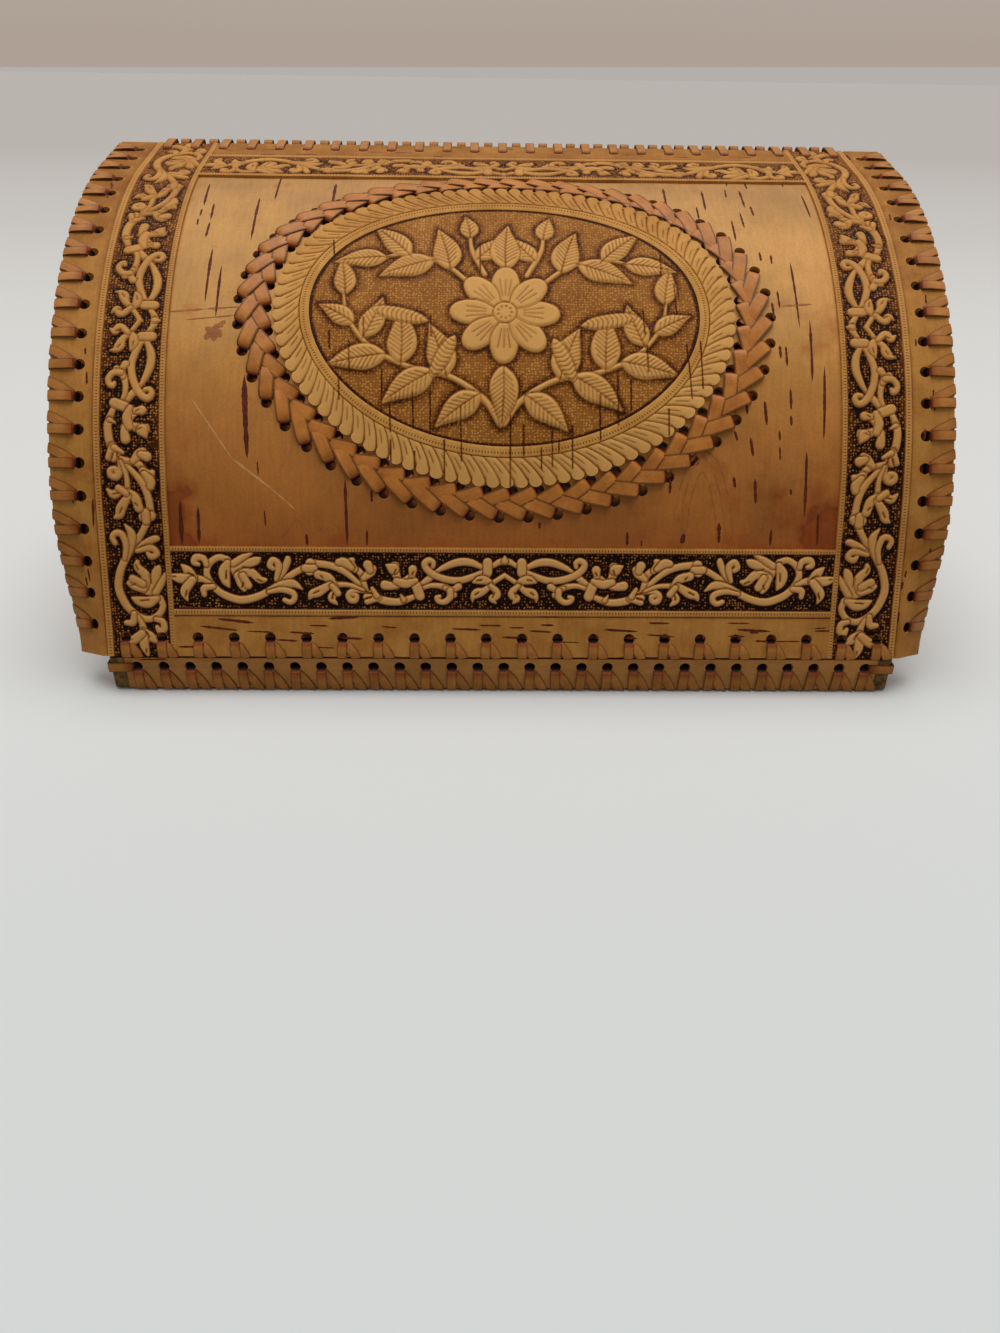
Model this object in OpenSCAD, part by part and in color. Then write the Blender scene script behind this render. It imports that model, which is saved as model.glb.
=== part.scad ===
// Birch bark chest: a low laced tray with a back wall and two arched end panels,
// and a curved lid of bark sheets that is laced to the top of the back wall.
// The front faces -Y, +Z is up, and the origin is the centre of the sole's underside.
// The lid's section is a line, an arc and a line. A place on it is given by s, the
// distance along its outer face from the lower front edge, and n, the depth below that face.

/* [Lid] */
// Width of the lid's sheets
lid_w = 378; // [372:1:390]
// Lean of the lid's front from the vertical, in degrees
front_lean = 19; // [17:1:22]
// Length of the flat stretch above the front edge
front_flat = 61; // [52:1:70]
// Radius of the bend at the outer face
bend_r = 180; // [170:1:190]
// Angle of the bend, in degrees
bend_angle = 60; // [56:1:62]
// Length of the flat stretch in front of the hinge
top_flat = 36; // [30:1:45]
// Width of the embossed border strips
border_w = 47.5; // [40:0.5:55]

/* [Tray] */
// Width of the tray over its end panels
tray_w = 343; // [336:1:348]
// Height of the lid's front edge above the floor
edge_height = 17.2; // [16.5:0.1:24]
// Thickness of the bottom board
board_t = 4; // [3:0.5:5]
// Length of the white bark pieces at the front corners, along the front
corner_len = 7; // [5:0.5:8]

/* [Medallion] */
// Distance of the medallion's middle from the lid's front edge, along the bend
oval_s = 148; // [140:1:149]
// Width of the oval row of outer lacing holes
oval_w = 226; // [200:1:240]
// Height of that oval, measured along the bend
oval_h = 176; // [150:1:178]
// Distance between the outer and the inner row of holes
oval_band = 10.6; // [9:0.1:13]

/* [Bark] */
// Thickness of the border strips and the medallion
strip_t = 1.2; // [1:0.1:1.4]
// Thickness of the lid's main panel
panel_t = 1.5; // [1.2:0.1:1.8]
// Thickness of the lid's lining
lining_t = 1.5; // [1.2:0.1:1.8]
// Thickness of the tray's outer walls
wall_t = 2.6; // [2.4:0.1:2.8]
// Thickness of the walls' lining
wall_lining_t = 1.6; // [1.4:0.1:1.8]
// Thickness of the sole and of the floor lining
sole_t = 1.2; // [1:0.1:1.5]

/* [Lacing] */
// Width of a lacing strap
strap_w = 4.2; // [3:0.1:4.4]
// Thickness of a lacing strap
strap_t = 0.6; // [0.4:0.1:0.8]
// Diameter of the punched holes
hole_d = 4.8; // [4.6:0.1:5]
// Number of stitches along the lid's front edge
lid_front_count = 22; // [16:2:24]
// Number of stitches along each side edge of the lid
lid_side_count = 20; // [14:1:21]
// Number of stitches along the lid's back edge
hinge_count = 25; // [17:2:27]
// Number of stitches along the tray's front and back bottom edges
tray_front_count = 27; // [19:2:29]
// Number of stitches along each of the tray's side bottom edges
tray_side_count = 14; // [8:1:15]
// Number of stitches along the curved rim of each end panel
rim_count = 15; // [9:1:17]
// Number of stitches up each back corner
corner_count = 11; // [6:1:12]

/* [Hidden] */
$fn = 96;

// Clearances
rest_gap = 0.35;          // between the closed lid's front edge and the tray
rim_gap = 0.4;            // between the lid's lining and the straps on the end panels' rims
hinge_play = 1.3;         // between the round ends of the hinge straps and the lid's back edge
wall_play = 0.5;          // further from the hinge axis to the back wall than to the lid
curve_gap = 0.015;        // between a flat strap and either face of the bend
bend_rise = 0.005;        // step up from a flat stretch to the bend, so that their faces meet cleanly
// Distances of the holes from the edges
front_reach = 8.2;        // lid's front and back rows
side_reach = 12;          // lid's side rows
rim_reach = 8;            // end panels' curved rims
corner_reach = 12;        // both walls of a corner
floor_reach = 14;         // tray's bottom, from the outer face
tray_reach = 5.2;         // tray's walls, below the lid's front edge
// Distances of each row's last stitch from the end of its edge
front_row_end = 26;
hinge_row_end = 6.5;
tray_row_end = 23.5;
tray_side_end = 26;
side_row_start = 13.5;
side_row_end = 12.5;
rim_row_start = 22;
rim_row_end = 24;
corner_row_start = 30;
corner_row_end = 22;
oval_lace_t = 0.8;        // height of the medallion's braided lacing
oval_overhang = 2;        // braid beyond each row of holes
past = 40;                // reach of cutting shapes beyond what they cut

// Bark colours
caramel = "#B27B42";
honey = "#C39352";
straw = "#CDA96A";
lace_brown = "#A8763D";
lace_orange = "#B9773A";
inner_bark = "#C08A55";
white_bark = "#CFC6B8";

// Thicknesses and heights
lid_t = strip_t + panel_t + lining_t;
tray_t = wall_t + wall_lining_t;
board_z = sole_t;
floor_z = board_z + board_t;
inside_z = floor_z + sole_t;
rim_n = lid_t + rim_gap + strap_t;
edge_gap = strap_t + rest_gap;
tray_hole_z = edge_height - tray_reach;
hinge_gap = lid_t / 2 + strap_t + hinge_play;
wall_gap = hinge_gap + wall_play;

// Section of the lid. a is the lean of its face from the vertical.
bend_len = bend_r * bend_angle * PI / 180;
bend_end = front_flat + bend_len;
lid_len = bend_end + top_flat;
function along(a) = [sin(a), cos(a)];
function inward(a) = [cos(a), -sin(a)];
function lean_at(s) = front_lean + min(max(s - front_flat, 0), bend_len) / bend_r * 180 / PI;
bend_centre = front_flat * along(front_lean) + bend_r * inward(front_lean);
function section(s, n) =
    s < front_flat
        ? s * along(front_lean) + n * inward(front_lean)
        : bend_centre - (bend_r - n) * inward(lean_at(s)) + max(s - bend_end, 0) * along(lean_at(s));

// The tray's front and back faces lie evenly about the origin
hinge_s = lid_len + hinge_gap;
back_y = (section(hinge_s, lid_t / 2)[0] + tray_t / 2) / 2;
front_y = -back_y;
foot = [front_y, edge_height];
centre = foot + bend_centre;
function at(s, n) = foot + section(s, n);
hinge = at(hinge_s, lid_t / 2);
wall_top = hinge[1] - wall_gap;
function front_top(y) = edge_height - edge_gap / cos(front_lean) - (y - front_y) * tan(front_lean);

// Middle of the bend
mid_s = (front_flat + bend_end) / 2;
oval_r = [oval_w / 2, oval_h / 2];
medallion_r = oval_r - [1, 1] * oval_band / 2;

function row(first, last, count) = [for (i = [0:count - 1]) first + (last - first) * i / (count - 1)];
function even_row(half, count) = row(-half, half, count);
front_row = even_row(lid_w / 2 - front_row_end, lid_front_count);
side_row = row(side_row_start, lid_len - side_row_end, lid_side_count);
hinge_row = even_row(tray_w / 2 - hinge_row_end, hinge_count);
wall_row = [for (i = [0:hinge_count - 2]) (hinge_row[i] + hinge_row[i + 1]) / 2];
tray_row = even_row(tray_w / 2 - tray_row_end, tray_front_count);
tray_side_row = even_row(back_y - tray_side_end, tray_side_count);
rim_row = row(rim_row_start, lid_len - rim_row_end, rim_count);
corner_row = row(corner_row_start, wall_top - corner_row_end, corner_count);

// ---- Places on the lid ----

// Draws children with Z outward from the lid's face, Y along the section and X across it
module on_lid(s, n = 0) {
    p = at(s, n);
    translate([0, p[0], p[1]]) rotate([90 - lean_at(s), 0, 0]) children();
}

// Extrudes a (y, z) section from x0 to x1
module across(x0, x1) {
    translate([x0, 0, 0]) rotate([90, 0, 90]) linear_extrude(x1 - x0) children();
}

module both_sides() {
    children();
    mirror([1, 0, 0]) children();
}

// Everything below depth n, out past both ends of the lid
module below(n, x0, x1) {
    low = at(-past, n);
    high = at(lid_len + past, n);
    across(x0, x1) polygon([low, at(front_flat, n), at(bend_end, n), high, [high[0], low[1]]]);
    intersection() {
        across(x0, x1) translate(centre) circle(r = bend_r - n + bend_rise);
        across(x0, x1) polygon([at(front_flat, n), for (s = [front_flat, mid_s, bend_end]) at(s, -past),
            at(bend_end, n), at(mid_s, n + past)]);
    }
}

// The sheet from depth n0 to n1, between s0 and s1 and from x0 to x1
module sheet(n0, n1, s0, s1, x0, x1) {
    intersection() {
        difference() {
            below(n0, x0, x1);
            below(n1, x0 - 1, x1 + 1);
        }
        across(x0 - 1, x1 + 1)
            polygon([at(s0, n1 + 1), for (s = [s0, (s0 + s1) / 2, s1]) at(s, n0 - past), at(s1, n1 + 1)]);
    }
}

// Outline of an ellipse on the bend, whose height is measured along the bend
module oval(rx, ry) {
    steps = 72;
    polygon([for (i = [0:steps - 1]) let (a = 360 * i / steps)
        [rx * cos(a), bend_r * sin(ry * sin(a) / bend_r * 180 / PI)]]);
}

// Extrudes an outline at the medallion's place through the sheets
module through_lid() {
    on_lid(oval_s) translate([0, 0, -past]) linear_extrude(2 * past) children();
}

// ---- Holes ----

module punch() {
    translate([0, 0, -2 * lid_t]) cylinder(h = 3 * lid_t, d = hole_d);
}

module lid_side_holes() {
    for (s = side_row) on_lid(s) both_sides() translate([lid_w / 2 - side_reach, 0, 0]) punch();
}

module lid_front_holes() {
    on_lid(front_reach) for (x = front_row) translate([x, 0, 0]) punch();
}

module lid_back_holes() {
    on_lid(lid_len - front_reach) for (x = hinge_row) translate([x, 0, 0]) punch();
}

module lid_holes() {
    lid_side_holes();
    lid_front_holes();
    lid_back_holes();
}

// Holes through the front and back walls above the bottom edge
module tray_long_holes() {
    for (x = tray_row) translate([x, 0, tray_hole_z]) rotate([90, 0, 0])
        cylinder(h = 3 * back_y, d = hole_d, center = true);
}

module tray_side_holes() {
    for (y = tray_side_row) translate([0, y, tray_hole_z]) rotate([0, 90, 0])
        cylinder(h = 1.2 * tray_w, d = hole_d, center = true);
}

// Holes through the bottom, inside the walls
module floor_holes() {
    for (x = tray_row, side = [-1, 1]) translate([x, side * (back_y - floor_reach), 0])
        cylinder(h = 2 * inside_z, d = hole_d);
    for (y = tray_side_row, side = [-1, 1]) translate([side * (tray_w / 2 - floor_reach), y, 0])
        cylinder(h = 2 * inside_z, d = hole_d);
}

module front_corner_holes() {
    both_sides() {
        translate([tray_w / 2 - corner_reach, front_y, tray_hole_z]) rotate([90, 0, 0])
            cylinder(h = 4 * tray_t, d = hole_d, center = true);
        translate([tray_w / 2, front_y + corner_reach, tray_hole_z]) rotate([0, 90, 0])
            cylinder(h = 4 * tray_t, d = hole_d, center = true);
    }
}

module back_corner_holes() {
    for (z = corner_row) both_sides() {
        translate([tray_w / 2 - corner_reach, back_y, z]) rotate([90, 0, 0])
            cylinder(h = 4 * tray_t, d = hole_d, center = true);
        translate([tray_w / 2, back_y - corner_reach, z]) rotate([0, 90, 0])
            cylinder(h = 4 * tray_t, d = hole_d, center = true);
    }
}

module wall_hinge_holes() {
    for (x = wall_row) translate([x, back_y, wall_top - front_reach]) rotate([90, 0, 0])
        cylinder(h = 4 * tray_t, d = hole_d, center = true);
}

module rim_holes() {
    for (s = rim_row) on_lid(s, rim_n + rim_reach) rotate([0, 90, 0])
        cylinder(h = 1.2 * tray_w, d = hole_d, center = true);
}

// ---- Straps ----

// Closed loop through a hole at the origin and round an edge at x = reach.
// The sheet that it holds lies between y = -grip and y = 0.
module edge_loop(reach, grip) {
    difference() {
        translate([-strap_t / 2, -grip - strap_t]) square([reach + 1.5 * strap_t, grip + 2 * strap_t]);
        translate([strap_t / 2, -grip]) square([reach - strap_t / 2, grip]);
    }
}

// Closed loop round a sheet 2 * half thick. Its round end turns on the hinge axis at the
// origin, and its hole is at x = reach.
module hinge_loop(reach, half) {
    difference() {
        union() {
            circle(r = half + strap_t);
            translate([0, -half - strap_t]) square([reach + strap_t / 2, 2 * (half + strap_t)]);
        }
        circle(r = half);
        translate([0, -half]) square([reach - strap_t / 2, 2 * half]);
    }
}

// Closed loop round the corner of two plates. One is t1 thick and runs along x to its hole
// at x = hole1, the other is t2 thick and runs along y to its hole at y = hole2.
module corner_loop(t1, hole1, t2, hole2) {
    end1 = hole1 - strap_t / 2;
    end2 = hole2 - strap_t / 2;
    difference() {
        polygon([[-strap_t, -strap_t], [end1 + strap_t, -strap_t], [end1 + strap_t, t1 + strap_t],
            [t2 + strap_t, t1 + strap_t], [t2 + strap_t, end2 + strap_t], [-strap_t, end2 + strap_t]]);
        polygon([[0, 0], [end1, 0], [end1, t1], [t2, t1], [t2, end2], [0, end2]]);
    }
}

module strap() {
    linear_extrude(strap_w, center = true) children();
}

// Stitches under the right bottom edge. Repeats are placed by the caller.
module bottom_stitch() {
    translate([0, 0, board_z]) rotate([90, 0, 0]) strap()
        corner_loop(inside_z - board_z, floor_reach, tray_t, tray_hole_z - board_z);
}

// ---- Tray ----

module base_board() {
    color(inner_bark) difference() {
        translate([-tray_w / 2 + wall_t, front_y + wall_t, board_z])
            cube([tray_w - 2 * wall_t, 2 * (back_y - wall_t), board_t]);
        floor_holes();
    }
}

module sole() {
    inset = floor_reach + hole_d;
    color(white_bark) translate([-tray_w / 2 + inset, front_y + inset, 0])
        cube([tray_w - 2 * inset, 2 * (back_y - inset), sole_t]);
}

module floor_lining() {
    color(inner_bark) difference() {
        translate([-tray_w / 2 + tray_t, front_y + tray_t, floor_z])
            cube([tray_w - 2 * tray_t, 2 * (back_y - tray_t), sole_t]);
        floor_holes();
    }
}

// Section of a low front ply from depth y0 to y1 behind the front face
module front_ply(y0, y1, z0) {
    near = front_y + y0;
    far = front_y + y1;
    polygon([[near, z0], [far, z0], [far, front_top(far)], [near, front_top(near)]]);
}

module front_wall() {
    half = tray_w / 2 - corner_len;
    color(honey) difference() {
        across(-half, half) front_ply(0, wall_t, board_z);
        tray_long_holes();
        front_corner_holes();
    }
}

module front_lining() {
    half = tray_w / 2 - wall_t;
    color(inner_bark) difference() {
        across(-half, half) front_ply(wall_t, tray_t, floor_z);
        tray_long_holes();
        front_corner_holes();
    }
}

module back_wall() {
    color(caramel) difference() {
        translate([-tray_w / 2, back_y - wall_t, board_z]) cube([tray_w, wall_t, wall_top - board_z]);
        tray_long_holes();
        back_corner_holes();
        wall_hinge_holes();
    }
}

module back_lining() {
    half = tray_w / 2 - wall_t;
    color(inner_bark) difference() {
        translate([-half, back_y - tray_t, floor_z]) cube([2 * half, wall_lining_t, wall_top - floor_z]);
        tray_long_holes();
        back_corner_holes();
        wall_hinge_holes();
    }
}

// The end ply on the right, from depth x0 to x1 inside the outer face, and from depth y
// behind the front face to the same depth in front of the back face
module end_ply(x0, x1, y, z0) {
    near = front_y + y;
    shoulder = at(-edge_gap, rim_n);
    right = tray_w / 2 - x0;
    left = tray_w / 2 - x1;
    difference() {
        intersection() {
            translate([left, near, z0]) cube([right - left, 2 * (back_y - y), wall_top - z0]);
            union() {
                below(rim_n, left - 1, right + 1);
                across(left - 1, right + 1)
                    polygon([[near, z0], [near, front_top(near)], shoulder, [shoulder[0], z0]]);
            }
        }
        tray_side_holes();
        front_corner_holes();
        back_corner_holes();
        rim_holes();
    }
}

module end_panel_right() {
    color(caramel) end_ply(0, wall_t, wall_t, board_z);
}

module end_panel_left() {
    mirror([1, 0, 0]) end_panel_right();
}

module end_lining_right() {
    color(inner_bark) end_ply(wall_t, tray_t, tray_t, floor_z);
}

module end_lining_left() {
    mirror([1, 0, 0]) end_lining_right();
}

// Rounded end of the front ply, of white outer bark
module corner_piece_right() {
    inner_x = tray_w / 2 - corner_len;
    color(white_bark) intersection() {
        across(inner_x, tray_w / 2) front_ply(0, wall_t, board_z);
        linear_extrude(edge_height) {
            translate([tray_w / 2 - wall_t, front_y + wall_t]) circle(r = wall_t);
            translate([inner_x, front_y]) square([corner_len - wall_t, wall_t]);
        }
    }
}

module corner_piece_left() {
    mirror([1, 0, 0]) corner_piece_right();
}

// ---- Tray lacing ----

module base_lacing_back() {
    color(lace_brown) for (x = tray_row) translate([x, back_y, 0]) rotate([0, 0, -90]) bottom_stitch();
}

module base_lacing_front() {
    mirror([0, 1, 0]) base_lacing_back();
}

module base_lacing_left() {
    color(lace_brown) for (y = tray_side_row) translate([-tray_w / 2, y, 0]) bottom_stitch();
}

module base_lacing_right() {
    mirror([1, 0, 0]) base_lacing_left();
}

module corner_lacing_front_left() {
    color(lace_brown) translate([-tray_w / 2, front_y, tray_hole_z]) strap()
        corner_loop(tray_t, corner_reach, tray_t, corner_reach);
}

module corner_lacing_front_right() {
    mirror([1, 0, 0]) corner_lacing_front_left();
}

module corner_lacing_back_left() {
    color(lace_brown) for (z = corner_row) translate([-tray_w / 2, back_y, z]) mirror([0, 1, 0]) strap()
        corner_loop(tray_t, corner_reach, tray_t, corner_reach);
}

module corner_lacing_back_right() {
    mirror([1, 0, 0]) corner_lacing_back_left();
}

module rim_lacing_right() {
    color(lace_brown) for (s = rim_row) on_lid(s, rim_n + rim_reach) translate([tray_w / 2, 0, 0])
        rotate([90, -90, 0]) strap() mirror([0, 1]) edge_loop(rim_reach, tray_t);
}

module rim_lacing_left() {
    mirror([1, 0, 0]) rim_lacing_right();
}

module hinge_lacing_wall() {
    color(lace_brown) for (x = wall_row) translate([x, hinge[0], hinge[1]])
        rotate([0, 90, 0]) strap() hinge_loop(wall_gap + front_reach, tray_t / 2);
}

// ---- Lid ----

module lid_panel() {
    color(caramel) difference() {
        sheet(strip_t, strip_t + panel_t, 0, lid_len, -lid_w / 2, lid_w / 2);
        lid_holes();
    }
}

module lid_lining() {
    color(inner_bark) difference() {
        sheet(strip_t + panel_t, lid_t, 0, lid_len, -lid_w / 2, lid_w / 2);
        lid_holes();
    }
}

module border_right() {
    color(straw) difference() {
        sheet(0, strip_t, 0, lid_len, lid_w / 2 - border_w, lid_w / 2);
        lid_holes();
    }
}

module border_left() {
    mirror([1, 0, 0]) border_right();
}

module border_front() {
    half = lid_w / 2 - border_w;
    color(straw) difference() {
        sheet(0, strip_t, 0, border_w, -half, half);
        lid_front_holes();
    }
}

module border_back() {
    half = lid_w / 2 - border_w;
    color(straw) difference() {
        sheet(0, strip_t, lid_len - border_w, lid_len, -half, half);
        lid_back_holes();
    }
}

module medallion() {
    color(straw) intersection() {
        sheet(0, strip_t, oval_s - oval_r[1], oval_s + oval_r[1], -oval_r[0], oval_r[0]);
        through_lid() oval(medallion_r[0], medallion_r[1]);
    }
}

// Braid over the medallion's edge: it lies on the panel outside and on the medallion inside
module medallion_lacing() {
    reach = oval_r + [2, 2] * oval_overhang;
    hollow = oval_r - [1, 1] * (oval_band + oval_overhang);
    color(lace_orange) {
        intersection() {
            sheet(-oval_lace_t, strip_t, oval_s - reach[1], oval_s + reach[1], -reach[0], reach[0]);
            through_lid() difference() {
                oval(oval_r[0] + oval_overhang, oval_r[1] + oval_overhang);
                oval(medallion_r[0], medallion_r[1]);
            }
        }
        intersection() {
            sheet(-oval_lace_t, 0, oval_s - reach[1], oval_s + reach[1], -reach[0], reach[0]);
            through_lid() difference() {
                oval(medallion_r[0], medallion_r[1]);
                oval(hollow[0], hollow[1]);
            }
        }
    }
}

// ---- Lid lacing ----

module lid_lacing_front() {
    color(lace_brown) on_lid(front_reach) for (x = front_row) translate([x, 0, 0])
        rotate([90, 0, -90]) strap() edge_loop(front_reach, lid_t);
}

module lid_lacing_right() {
    color(lace_brown) for (s = side_row) on_lid(s, -curve_gap) translate([lid_w / 2 - side_reach, 0, 0])
        rotate([90, 0, 0]) strap() edge_loop(side_reach, lid_t + 2 * curve_gap);
}

module lid_lacing_left() {
    mirror([1, 0, 0]) lid_lacing_right();
}

module hinge_lacing_lid() {
    color(lace_brown) on_lid(hinge_s, lid_t / 2) for (x = hinge_row) translate([x, 0, 0])
        rotate([90, 0, -90]) strap() hinge_loop(hinge_gap + front_reach, lid_t / 2);
}

base_board();
sole();
floor_lining();
front_wall();
front_lining();
back_wall();
back_lining();
end_panel_left();
end_panel_right();
end_lining_left();
end_lining_right();
corner_piece_left();
corner_piece_right();
base_lacing_front();
base_lacing_back();
base_lacing_left();
base_lacing_right();
corner_lacing_front_left();
corner_lacing_front_right();
corner_lacing_back_left();
corner_lacing_back_right();
rim_lacing_left();
rim_lacing_right();
hinge_lacing_wall();
lid_panel();
lid_lining();
border_left();
border_right();
border_front();
border_back();
medallion();
medallion_lacing();
lid_lacing_front();
lid_lacing_left();
lid_lacing_right();
hinge_lacing_lid();
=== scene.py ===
# %% [markdown]
# # A bread chest of birch bark
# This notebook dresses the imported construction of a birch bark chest: a low laced tray and a
# curved lid that is laced to the tray's back wall. The maker works on flat sheets: emboss them,
# punch the holes, bend all the sheets together and lace their edges. The cells below go the same
# way, because a flat sheet is far easier to model than a curved one.

# %% Load the construction
from math import cos, hypot, pi, radians, sin

import bpy
import numpy as np
from mathutils import Matrix, Vector


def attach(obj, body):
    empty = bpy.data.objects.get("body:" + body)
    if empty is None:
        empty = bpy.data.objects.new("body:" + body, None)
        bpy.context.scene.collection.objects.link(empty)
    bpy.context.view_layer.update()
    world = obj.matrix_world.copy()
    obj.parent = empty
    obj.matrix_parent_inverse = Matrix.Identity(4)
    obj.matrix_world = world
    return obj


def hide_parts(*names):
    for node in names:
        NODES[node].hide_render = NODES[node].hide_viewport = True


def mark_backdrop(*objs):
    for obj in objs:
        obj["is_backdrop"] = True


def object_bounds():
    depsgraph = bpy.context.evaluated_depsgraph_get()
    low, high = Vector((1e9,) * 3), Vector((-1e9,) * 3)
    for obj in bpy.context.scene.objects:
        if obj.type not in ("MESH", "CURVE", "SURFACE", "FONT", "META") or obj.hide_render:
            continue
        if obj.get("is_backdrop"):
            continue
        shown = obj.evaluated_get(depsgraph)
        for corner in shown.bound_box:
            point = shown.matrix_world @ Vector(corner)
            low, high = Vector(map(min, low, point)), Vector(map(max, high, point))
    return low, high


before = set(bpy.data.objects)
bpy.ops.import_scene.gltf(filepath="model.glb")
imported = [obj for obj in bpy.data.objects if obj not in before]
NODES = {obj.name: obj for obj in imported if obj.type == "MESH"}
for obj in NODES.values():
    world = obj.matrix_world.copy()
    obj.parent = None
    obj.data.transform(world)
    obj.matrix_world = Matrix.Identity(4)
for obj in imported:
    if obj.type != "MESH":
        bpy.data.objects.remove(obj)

cad_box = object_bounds()
MM = 0.001
print(len(NODES), "nodes, box", [[round(v, 4) for v in corner] for corner in cad_box])

# %% [markdown]
# ## Camera
# The photo was taken with a phone, about half a metre in front of the chest and a little above
# it. A camera is matched by its place, its three turns and its lens. This lens is wide, so the
# near edge of the lid looks longer than the hinge edge.

# %% Camera
PITCH, YAW, ROLL = radians(32), radians(1.32), radians(0.88)
EYE = np.array([-0.0102, -0.4700, 0.2445])
VIEW = np.array([sin(YAW) * cos(PITCH), cos(YAW) * cos(PITCH), -sin(PITCH)])
level = np.cross(VIEW, [0, 0, 1])
level /= np.linalg.norm(level)
RIGHT = cos(ROLL) * level + sin(ROLL) * np.cross(level, VIEW)
UP = np.cross(RIGHT, VIEW)

lens = bpy.data.cameras.new("camera")
lens.sensor_fit, lens.sensor_height, lens.lens, lens.clip_end = "VERTICAL", 36, 36 * 1000 / 1333, 20
camera = bpy.data.objects.new("camera", lens)
bpy.context.scene.collection.objects.link(camera)
camera.location = EYE
camera.rotation_euler = Matrix(np.stack([RIGHT, UP, -VIEW], 1).tolist()).to_euler()
bpy.context.scene.camera = camera
print("camera", [round(v, 3) for v in camera.location], "lens", round(lens.lens, 1))

# %% [markdown]
# ## Places on the lid
# Seen from the side the lid is a short straight stretch, a long bend and another straight
# stretch. One function turns a place on the flat sheets into a place in the room: x across the
# lid, s along it from the front edge, and n below its outer face, all in millimetres. Past the
# end panels only the lacing holds the bark, and near the front corners it has curled inwards.

# %% Places on the lid
LID_W, LID_LEN, BORDER_W = 378.0, 285.4956, 47.5
FRONT_LEAN, FRONT_FLAT, BEND_R = radians(19), 61.0, 180.0
BEND_END = FRONT_FLAT + BEND_R * radians(60)
FRONT_Y, BACK_Y, EDGE_Z, WALL_TOP, TRAY_W = -98.7366, 98.7366, 17.2, 194.0382, 343.0
STRIP_T, PANEL_T, LINING_T, TRAY_T = 1.2, 1.5, 1.5, 4.2
LID_T = STRIP_T + PANEL_T + LINING_T
FOLD_X, FOLD_LEN, FOLD_ANGLE = 173.0, 70.0, radians(36)


def smooth(t):
    t = np.clip(t, 0, 1)
    return t * t * (3 - 2 * t)


def on_lid(x, s, n):
    x, s, n = (np.asarray(v, float) for v in (x, s, n))
    curl = FOLD_ANGLE * smooth(1 - s / FOLD_LEN)
    beyond = np.maximum(np.abs(x) - FOLD_X, 0)
    x = np.sign(x) * (np.minimum(np.abs(x), FOLD_X) + beyond * np.cos(curl))
    n = n + beyond * np.sin(curl)
    lean = FRONT_LEAN + np.clip(s - FRONT_FLAT, 0, BEND_END - FRONT_FLAT) / BEND_R
    low, high = np.minimum(s, FRONT_FLAT), np.maximum(s - BEND_END, 0)
    y = (FRONT_Y + low * sin(FRONT_LEAN) + BEND_R * (cos(FRONT_LEAN) - np.cos(lean))
         + high * np.sin(lean) + n * np.cos(lean))
    z = (EDGE_Z + low * cos(FRONT_LEAN) + BEND_R * (np.sin(lean) - sin(FRONT_LEAN))
         + high * np.cos(lean) - n * np.sin(lean))
    return np.stack([x, y, z], -1) * MM


print("middle of the hinge edge", on_lid(0, LID_LEN, 0).round(4))

# %% [markdown]
# ## Materials
# Bark is matt, a little waxy where hands rub it, and never one flat colour. One function turns an
# sRGB hex value into the linear colour Blender works with. The others each add one kind of node
# and give back its output, so that a material reads as a short sum of what the eye sees.

# %% Helpers for materials
def colour(code):
    parts = [int(code[i:i + 2], 16) / 255 for i in (1, 3, 5)]
    return [v / 12.92 if v <= 0.04045 else ((v + 0.055) / 1.055) ** 2.4 for v in parts] + [1.0]


def add_node(material, kind, settings=None, inputs=None):
    tree = material.node_tree
    node = tree.nodes.new("ShaderNode" + kind)
    for key, value in (settings or {}).items():
        setattr(node, key, value)
    for key, value in (inputs or {}).items():
        if isinstance(value, bpy.types.NodeSocket):
            tree.links.new(value, node.inputs[key])
        else:
            node.inputs[key].default_value = value
    return node


def coordinates(material, kind):
    return add_node(material, "TexCoord").outputs[kind]


def axis_of(material, place, axis):
    return add_node(material, "SeparateXYZ", None, {0: place}).outputs[axis]


def attribute(material, name):
    return add_node(material, "Attribute", {"attribute_name": name}).outputs["Fac"]


def noise(material, place, size_mm, detail, **inputs):
    return add_node(material, "TexNoise", None,
                    {"Vector": place, "Scale": 1000 / size_mm, "Detail": detail, **inputs}).outputs[0]


def compute(material, operation, *values, clamp=False):
    settings = {"operation": operation, "use_clamp": clamp}
    return add_node(material, "Math", settings, dict(enumerate(values))).outputs[0]


def map_range(material, *values):
    """values: what is mapped, from low, from high, to low, to high."""
    return add_node(material, "MapRange", None, dict(enumerate(values))).outputs[0]


def ramp(material, share, stops):
    """stops: pairs of a place and a hex colour or a grey level."""
    node = add_node(material, "ValToRGB", None, {0: share})
    while len(node.color_ramp.elements) < len(stops):
        node.color_ramp.elements.new(0.5)
    for element, (place, value) in zip(node.color_ramp.elements, stops):
        element.position = place
        element.color = colour(value) if isinstance(value, str) else (value, value, value, 1)
    return node.outputs[0]


def blend(material, share, one, other, kind="MIX"):
    return add_node(material, "Mix", {"data_type": "RGBA", "blend_type": kind},
                    {0: share, 6: one, 7: other}).outputs[2]


def multiply(material, base, tone, amount=1.0):
    return blend(material, amount, base, tone, "MULTIPLY")


def connect(material, output, socket):
    material.node_tree.links.new(output, socket)


# %% [markdown]
# ### Plain bark
# The sheets show the inside of the bark, which is smooth and tans with age. Its marks follow the
# trunk, so they stretch one way: along the lid. The lid's sheets read their own flat UV map,
# where one unit is one metre, and so the pattern bends with them. Clouds a few centimetres wide,
# fibres under two millimetres and specks of about one keep the tan from looking flat.

# %% Bark
SPECK_MM = 1.2
BUMP_DEPTH = 0.0004


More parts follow.
